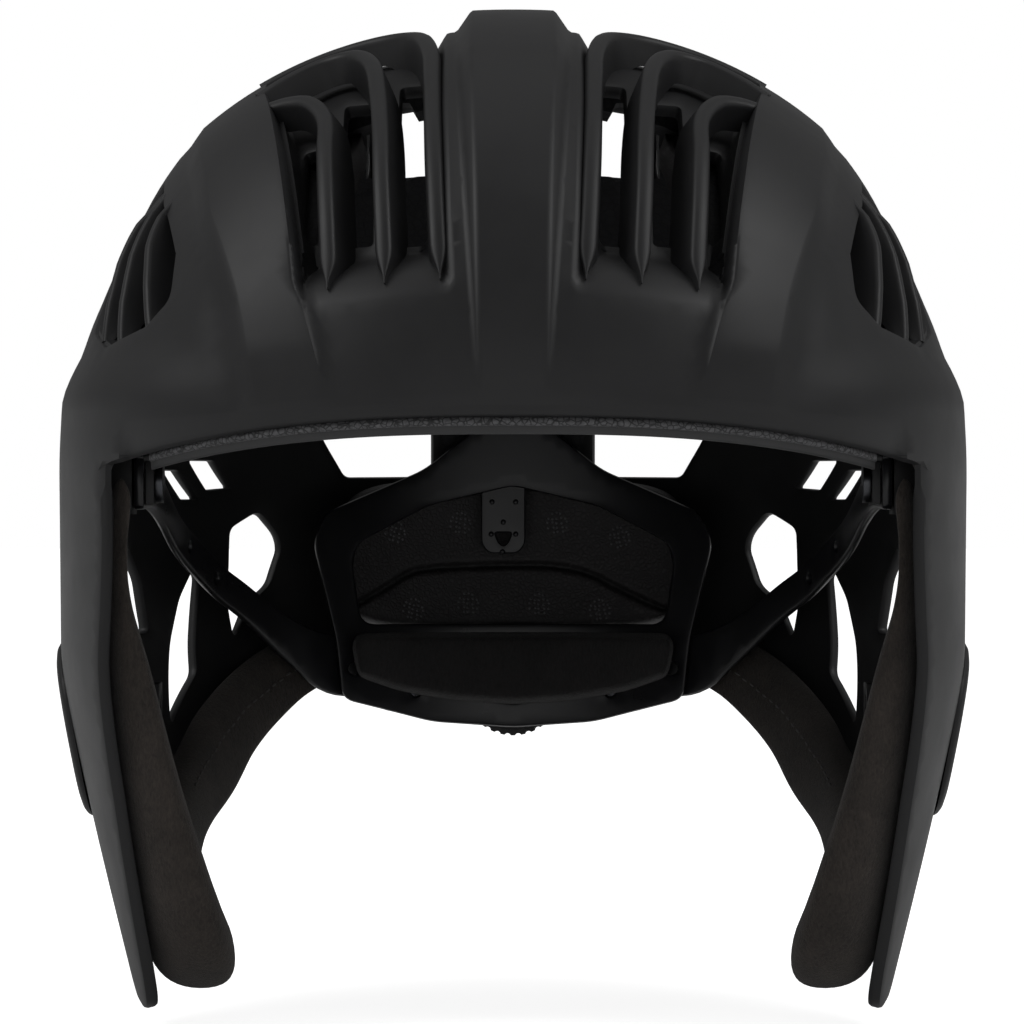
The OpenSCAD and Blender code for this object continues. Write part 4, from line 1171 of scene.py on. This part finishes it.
def treeWithInputs(name, sizes):
    tree = bpy.data.node_groups.new(name, "GeometryNodeTree")
    tree.interface.new_socket("Geometry", in_out="INPUT", socket_type="NodeSocketGeometry")
    for label, value in sizes.items():
        kind = "NodeSocketInt" if isinstance(value, int) else "NodeSocketFloat"
        tree.interface.new_socket(label, in_out="INPUT", socket_type=kind)
    tree.interface.new_socket("Geometry", in_out="OUTPUT", socket_type="NodeSocketGeometry")
    return tree, tree.nodes.new("NodeGroupInput").outputs


def runTree(tree, obj, sizes):
    # sets the inputs by their identifiers, then turns the result into a mesh
    modifier = obj.modifiers.new("nodes", "NODES")
    modifier.node_group = tree
    for item in tree.interface.items_tree:
        if item.in_out == "INPUT" and item.name in sizes:
            modifier[item.identifier] = sizes[item.name]
    settle(obj)


def finishTree(tree, cluster, material):
    real = addNode(tree, "GeometryNodeRealizeInstances", {}, {"Geometry": cluster.outputs[0]})
    painted = addNode(tree, "GeometryNodeSetMaterial", {"Material": material}, {"Geometry": real.outputs[0]})
    addNode(tree, "NodeGroupOutput", {}, {"Geometry": painted.outputs[0]})
    return tree


def dotTree(sizes, material):
    # a round cluster of flattened dots at each given point, turned to the surface there
    tree, given = treeWithInputs("gripDotClusters", sizes)
    grid = addNode(tree, "GeometryNodeMeshGrid", {"Vertices X": 7, "Vertices Y": 7})
    reach = combined(tree, "MULTIPLY", {0: given["Spacing"]}, {1: 6.0})
    tree.links.new(reach, grid.inputs["Size X"])
    tree.links.new(reach, grid.inputs["Size Y"])
    place = addNode(tree, "GeometryNodeInputPosition")
    length = addNode(tree, "ShaderNodeVectorMath", {"operation": "LENGTH"}, {0: place.outputs[0]})
    outside = addNode(tree, "FunctionNodeCompare", {"operation": "GREATER_THAN"},
                      {0: length.outputs["Value"], 1: given["Cluster"]})
    kept = addNode(tree, "GeometryNodeDeleteGeometry", {},
                   {"Geometry": grid.outputs["Mesh"], "Selection": outside.outputs[0]})
    low = combined(tree, "MULTIPLY", {0: given["Jitter"]}, {1: -1.0})
    random = addNode(tree, "FunctionNodeRandomValue", {"data_type": "FLOAT_VECTOR"}, {"Seed": given["Seed"]})
    tree.links.new(low, random.inputs[0])
    tree.links.new(given["Jitter"], random.inputs[1])
    flatten = addNode(tree, "ShaderNodeVectorMath", {"operation": "MULTIPLY", 1: (1.0, 1.0, 0.0)},
                      {0: random.outputs[0]})
    moved = addNode(tree, "GeometryNodeSetPosition", {}, {"Geometry": kept.outputs[0], "Offset": flatten.outputs[0]})
    bead = addNode(tree, "GeometryNodeMeshUVSphere", {"Segments": 8, "Rings": 5}, {"Radius": given["Dot"]})
    flatBead = addNode(tree, "GeometryNodeTransform", {"Scale": (1.0, 1.0, 0.5)}, {"Geometry": bead.outputs["Mesh"]})
    cluster = addNode(tree, "GeometryNodeInstanceOnPoints", {},
                      {"Points": moved.outputs[0], "Instance": flatBead.outputs[0]})
    facing = addNode(tree, "GeometryNodeInputNamedAttribute", {"data_type": "FLOAT_VECTOR", "Name": "facing"})
    turn = addNode(tree, "FunctionNodeAlignRotationToVector", {"axis": "Z"}, {"Vector": facing.outputs[0]})
    spread = addNode(tree, "GeometryNodeInstanceOnPoints", {},
                     {"Points": given["Geometry"], "Instance": cluster.outputs[0], "Rotation": turn.outputs[0]})
    return finishTree(tree, spread, material)


def pointMesh(name, points, facings, joined=False):
    mesh = bpy.data.meshes.new(name)
    edges = [(i, i + 1) for i in range(len(points) - 1)] if joined else []
    mesh.from_pydata([tuple(p) for p in points], edges, [])
    facing = mesh.attributes.new("facing", "FLOAT_VECTOR", "POINT")
    for i, normal in enumerate(facings):
        facing.data[i].vector = normal
    return linked(name, mesh)


def dotsOn(name, piece, places, sizes, material, body):
    hits = [hit for hit in (surfacePoint(piece, x, z) for x, z in places) if hit[0]]
    obj = pointMesh(name, [hit[0] for hit in hits], [hit[1] for hit in hits])
    runTree(dotTree(sizes, material), obj, sizes)
    dress(obj, material, body, None)
    print("dots", name, len(obj.data.polygons))


# Clusters of printed grip dots on the nape pad, set out by Geometry Nodes
gripDots = {"Dot": 0.34 * mm, "Spacing": 1.15 * mm, "Cluster": 2.75 * mm, "Jitter": 0.28 * mm, "Seed": 7}
gripPlaces = [(-29.3, 38.6), (-13.1, 40.8), (11.0, 40.8), (26.5, 37.2), (-24.8, 19.4), (-11.2, 20.8), (6.5, 20.6),
              (21.6, 19.2)]
dotsOn("napeGripDots", padObjects["nape_pad"], gripPlaces, gripDots, dotPrint, "helmet")

# A row of stitches along the ear pads' rear arms
stitches = {"Pitch": 3.0 * mm, "Length": 0.95 * mm, "Radius": 0.3 * mm}
stitchLine = [(38, -19), (54, -11), (68, -2.5), (80, 5), (91, 11.5)]


def stitchTree(sizes, material):
    tree, given = treeWithInputs("stitchRow", sizes)
    curve = addNode(tree, "GeometryNodeMeshToCurve", {}, {"Mesh": given["Geometry"]})
    even = addNode(tree, "GeometryNodeResampleCurve", {"mode": "LENGTH"},
                   {"Curve": curve.outputs[0], "Length": given["Pitch"]})
    ball = addNode(tree, "GeometryNodeMeshUVSphere", {"Segments": 8, "Rings": 6, "Radius": 1.0})
    size = addNode(tree, "ShaderNodeCombineXYZ", {}, {0: given["Radius"], 1: given["Radius"], 2: given["Length"]})
    along = addNode(tree, "GeometryNodeInputTangent")
    turn = addNode(tree, "FunctionNodeAlignRotationToVector", {"axis": "Z"}, {"Vector": along.outputs[0]})
    placed = addNode(tree, "GeometryNodeInstanceOnPoints", {},
                     {"Points": even.outputs[0], "Instance": ball.outputs["Mesh"], "Rotation": turn.outputs[0],
                      "Scale": size.outputs[0]})
    return finishTree(tree, placed, material)


for side, word in sides:
    pad = padObjects["ear_pad_" + word]
    tree = BVHTree.FromPolygons([v.co for v in pad.data.vertices], [p.vertices[:] for p in pad.data.polygons])
    row = [sidePoint(y, z, 18, side) * mm for y, z in stitchLine]
    near = [tree.find_nearest(p)[0] for p in curved(row, 6)]
    stitchObject = pointMesh("earStitches" + word.capitalize(), near, [(0, 0, 1)] * len(near), True)
    runTree(stitchTree(stitches, threadPlastic), stitchObject, stitches)
    dress(stitchObject, threadPlastic, "helmet", None)
    print("stitches", word, len(stitchObject.data.polygons))


# Plates of the cradle: two arms and the yoke, each with its slots and holes
arm = {"thick": 2.2, "radius": 0.7, "spacing": 2.0}
armPlan = curved([(-51.5, 81), (-20, 81), (-4.6, 80.2), (13.6, 78.4), (31.8, 75.6), (49.1, 70.9), (64, 64.4), (76, 57),
                  (84.2, 50), (88.1, 45), (92, 39), (94.9, 33.5)], 8)
armTop = [(-51.5, 53.5), (-50.6, 55.3), (-48.5, 56), (-20, 56), (0, 51), (19, 43.5), (39.5, 36.6), (52, 31.4),
          (66, 25.6), (80, 17.5), (88, 13.6), (94.6, 12.8)]
armLow = [(94.6, -2.2), (88, -1), (80, 6.5), (66, 16.6), (52, 22.8), (39.5, 27.8), (19, 34.6), (2, 40.6), (-18, 44),
          (-48.5, 44), (-50.6, 44.7), (-51.5, 46.5)]
armSlot = [(-46.75, 46.75), (-25.25, 46.75), (-25.25, 53.25), (-46.75, 53.25)]
armHoles = [(31, 35.2, 1.3), (50, 27.6, 1.3), (91.2, 5, 1.6)]


def armPoint(side):
    ys, xs = [p.x for p in armPlan], [p.y for p in armPlan]

    def place(v, d):
        slope = (np.interp(v.x + 0.6, ys, xs) - np.interp(v.x - 0.6, ys, xs)) / 1.2
        away = Vector((1, -slope)).normalized()
        return Vector((side * (float(np.interp(v.x, ys, xs)) + away.x * d), v.x + away.y * d, v.y))
    return place


def roundHole(x, y, radius):
    return roundedLoop((x, y), (radius, radius), 1, 24)


def plateHeights(size):
    def heights(away):
        cut = edgeRound(away, size["radius"])
        return cut, size["thick"] - cut
    return heights


armLoop = resample(curved(armTop, 5), 1.8) + resample(curved(armLow, 5), 1.8)
armCuts = [softLoop(armSlot, 0.8, 1.5)] + [roundHole(*h) for h in armHoles]
plates = {}
for side, word in sides:
    plates["fit_arm_" + word] = layered("fitArm" + word.capitalize(), armLoop, armCuts, (0.3, 0.7), arm["spacing"],
                                        armPoint(side), plateHeights(arm))
yokeSize = {"thick": yoke["thick"], "radius": 0.8}
yokeOuter = [(7, 66), (22, 54), (46, 43.5), (49, 36), (43.5, 12), (42, -2.5), (20, -8.5), (0, -10)]
yokeInner = [(0, 50), (21, 45), (38, 36), (39.5, 31), (37.7, 17.8), (35.7, 15.8)]
yokeHoles = [(39, 5, 1.6), (-39, 5, 1.6), (24, -1, 1.2), (-24, -1, 1.2), (0, 0, 3.8)]
yokeCuts = [softLoop(halfOutline(yokeInner), 2.2, 1.6)] + [roundHole(*h) for h in yokeHoles]
yokeLoop = softLoop(halfOutline(yokeOuter), 3.0, 1.6)
plates["yoke_frame"] = layered("yokeFrame", yokeLoop, yokeCuts, (0.3, 0.8), 2.2, yokePoint, plateHeights(yokeSize))
# the studded tab sits a little to the photograph's left, as the cradle's play lets it
tab = {"thick": 1.8, "radius": 0.5, "shift": -2.4, "y": 102.25}
tabLine = [(-5.5, 57), (5.5, 57), (5.5, 35.5), (3.6, 33.2), (-3.6, 33.2), (-5.5, 35.5)]
dishLine = [(-2.1, 38.4), (2.1, 38.4), (1.2, 36), (0, 35), (-1.2, 36)]
tabLoop = softLoop([(x + tab["shift"], z) for x, z in tabLine], 1.4, 1.0)
tabDish = softLoop([(x + tab["shift"], z) for x, z in dishLine], 0.7, 0.7)
plates["height_plate"] = layered("heightPlate", tabLoop, [tabDish], (0.3, 0.6), 1.4,
                                 lambda v, d: Vector((v.x, tab["y"] + d, v.y)), plateHeights(tab))
for node, obj in plates.items():
    dressNode(obj, glossNylon, node)
    obj.data.set_sharp_from_angle(angle=math.radians(32))
    print("plate", obj.name, len(obj.data.polygons))

# Snap studs on the studded tab, from the same tree as the grip dots, one to each place
studs = {"Dot": 0.75 * mm, "Spacing": 1.0 * mm, "Cluster": 0.1 * mm, "Jitter": 0.0, "Seed": 3}
studPlaces = [(-5.2, 46), (0.7, 46), (-2.4, 41), (-5.4, 38), (0.7, 38), (-2.6, 33.6)]
dotsOn("tabStuds", plates["height_plate"], studPlaces, studs, glossNylon, "cradle")

# The liner is opened where the shell is, by prisms along the front view (outline, y from and to, how much larger)
browCut = [(26, 61.6), (40, 60.9), (60, 58.6), (80, 54.6), (92, 51), (110, 45), (110, 40), (26, 40)]
earCut = [(38, 62), (110, 62), (110, 40), (38, 40)]
bayCut = [(17, 118), (46, 118), (45, 138), (17, 146)]
linerCuts = [(crownVent, (20, 122), 0.8), (browCut, (-125, -45), 0), (earCut, (-20, 125), 0),
             (rearWindow, (60, 125), 0.6), (bayCut, (-112, 5), 0)]


def openLiner(obj):
    for path, (near, far), grow in linerCuts:
        ring = grown([Vector(p) for p in path], grow)
        points, faces = [], []
        for side in (1, -1):
            start = len(points)
            for level in (near, far):
                points += [Vector((side * p.x, level, p.y)) for p in ring]
            faces += loftFaces(2, len(ring), start)
        cutter = meshObject("linerCutter", points, faces)
        pointFaces(cutter.data)
        cut = obj.modifiers.new("openings", "BOOLEAN")
        cut.object, cut.operation, cut.solver = cutter, "DIFFERENCE", "EXACT"
        settle(obj)
        bpy.data.objects.remove(cutter)


# Fittings: a node's own mesh, merged, its edges broken by a small bevel, its curved walls shaded smooth
fittings = {
    "strap_anchors_left": (fitNylon, 0.3), "strap_anchors_right": (fitNylon, 0.3),
    "temple_anchor_left": (fitNylon, 0.4), "temple_anchor_right": (fitNylon, 0.4),
    "temple_screws": (screwSteel, 0.25),
    "temple_slider_left": (fitNylon, 0.25), "temple_slider_right": (fitNylon, 0.25),
    "arm_rivets": (fitNylon, 0.3), "foam_liner": (linerFoam, 0), "dial_housing": (glossNylon, 0.35),
    "housing_screws": (screwSteel, 0.15)}
for node, (material, bevel) in fittings.items():
    obj = linked(camelName(node), merged(node))
    if node == "foam_liner":
        openLiner(obj)
    if bevel:
        edge = obj.modifiers.new("brokenEdges", "BEVEL")
        edge.width, edge.segments, edge.limit_method, edge.angle_limit = bevel * mm, 2, "ANGLE", math.radians(40)
        settle(obj)
    dressNode(obj, material, node)
    obj.data.set_sharp_from_angle(angle=math.radians(28))
    print("fitting", obj.name, len(obj.data.polygons))

# Nodes whose shape is right keep it, and get their finish
finish = {"ratchet_ring": fitNylon, "spool": fitNylon, "spool_spindle": screwSteel, "dial_knob": dialGrip}
for name, material in finish.items():
    for i in range(len(nodes[name].material_slots)):
        nodes[name].material_slots[i].material = material
print("finishes set")

# Floor, backdrop and lights
studio = {"floorZ": -70.6, "floorSize": 30.0, "world": 0.20, "near": 0.86, "far": 1.0}
floorMesh = bpy.data.meshes.new("studioFloor")
half, low = studio["floorSize"] / 2, studio["floorZ"] * mm
corners = [(-half, -half, low), (half, -half, low), (half, half, low), (-half, half, low)]
floorMesh.from_pydata(corners, [], [(0, 1, 2, 3)])
floor = linked("studioFloor", floorMesh)
floorPaint, tree, shader, place = newMaterial("whiteFloor")
setInputs(shader, {"Base Color": linear("#f4f4f4"), "Roughness": 0.9, "Specular IOR Level": 0.0})
rays = addNode(tree, "ShaderNodeLightPath").outputs
# the floor's own white grows away from the object, so it meets the backdrop without a line,
# and what mirrors the floor close by sees its shaded paint, as the glow there fades: painted shade for the object's
# shadow
reach = addNode(tree, "ShaderNodeVectorMath", {"operation": "LENGTH"}, {0: place}).outputs["Value"]
white = ranged(tree, reach, 0.25, 1.3, studio["near"], studio["far"])
forCamera = combined(tree, "MULTIPLY", {0: white, 1: rays["Is Camera Ray"]})
# painted shade: for glossy rays the glow fades to nothing near the object
forGlossy = combined(tree, "MULTIPLY", {0: ranged(tree, reach, 0.3, 6.0), 1: rays["Is Glossy Ray"]})
seen = combined(tree, "MAXIMUM", {0: forCamera, 1: forGlossy})
glow = addNode(tree, "ShaderNodeEmission", {"Color": (1, 1, 1, 1)}, {"Strength": seen})
total = addNode(tree, "ShaderNodeAddShader", {}, {0: shader.outputs[0], 1: glow.outputs[0]})
tree.links.new(total.outputs[0], tree.nodes["Material Output"].inputs["Surface"])
floorMesh.materials.append(floorPaint)

world = bpy.data.worlds.new("paleStudio")
scene.world = world
world.use_nodes = True
tree = world.node_tree
back = tree.nodes["Background"]
setInputs(back, {"Color": (1, 1, 1, 1), "Strength": studio["world"]})
bright = addNode(tree, "ShaderNodeBackground", {"Color": (1, 1, 1, 1), "Strength": 1.0})
rays = addNode(tree, "ShaderNodeLightPath").outputs
seen = combined(tree, "MAXIMUM", {0: rays["Is Camera Ray"], 1: rays["Is Transmission Ray"]})
which = addNode(tree, "ShaderNodeMixShader", {}, {0: seen, 1: back.outputs[0], 2: bright.outputs[0]})
tree.links.new(which.outputs[0], tree.nodes["World Output"].inputs["Surface"])

lamps = {
    "topSoftbox": {"at": (0.0, 0.1, 1.2), "size": (0.9, 0.9), "power": 0.8},
    "leftSoftbox": {"at": (-1.0, -0.25, 1.0), "size": (0.8, 0.9), "power": 6.6},
    "rightSoftbox": {"at": (1.0, -0.25, 1.0), "size": (0.8, 0.9), "power": 6.6},
    "frontFill": {"at": (0.0, -1.5, 0.3), "size": (1.2, 0.7), "power": 1.5}}
aim = Vector((0, 0, 0.05))
for name, lamp in lamps.items():
    data = bpy.data.lights.new(name, "AREA")
    data.shape = "RECTANGLE"
    data.size, data.size_y = lamp["size"]
    data.energy = lamp["power"]
    light = linked(name, data)
    light.location = lamp["at"]
    light.rotation_euler = (aim - light.location).to_track_quat("-Z", "Y").to_euler()
scene.view_settings.view_transform = "Standard"

# Camera: level with the brow, 1.2 m in front of the ear line
shot = {"distance": 1200.0, "height": 43.5, "sideways": -0.23, "lens": 184.2}
cameraData = bpy.data.cameras.new("photoCamera")
cameraData.lens = shot["lens"]
cameraData.sensor_width = 36.0
cameraData.sensor_fit = "HORIZONTAL"
cameraData.clip_start = 0.05
cameraData.clip_end = 50
camera = linked("photoCamera", cameraData)
camera.location = (shot["sideways"] * mm, -shot["distance"] * mm, shot["height"] * mm)
camera.rotation_euler = (math.radians(90), 0, 0)
scene.camera = camera
print("studio and camera set")
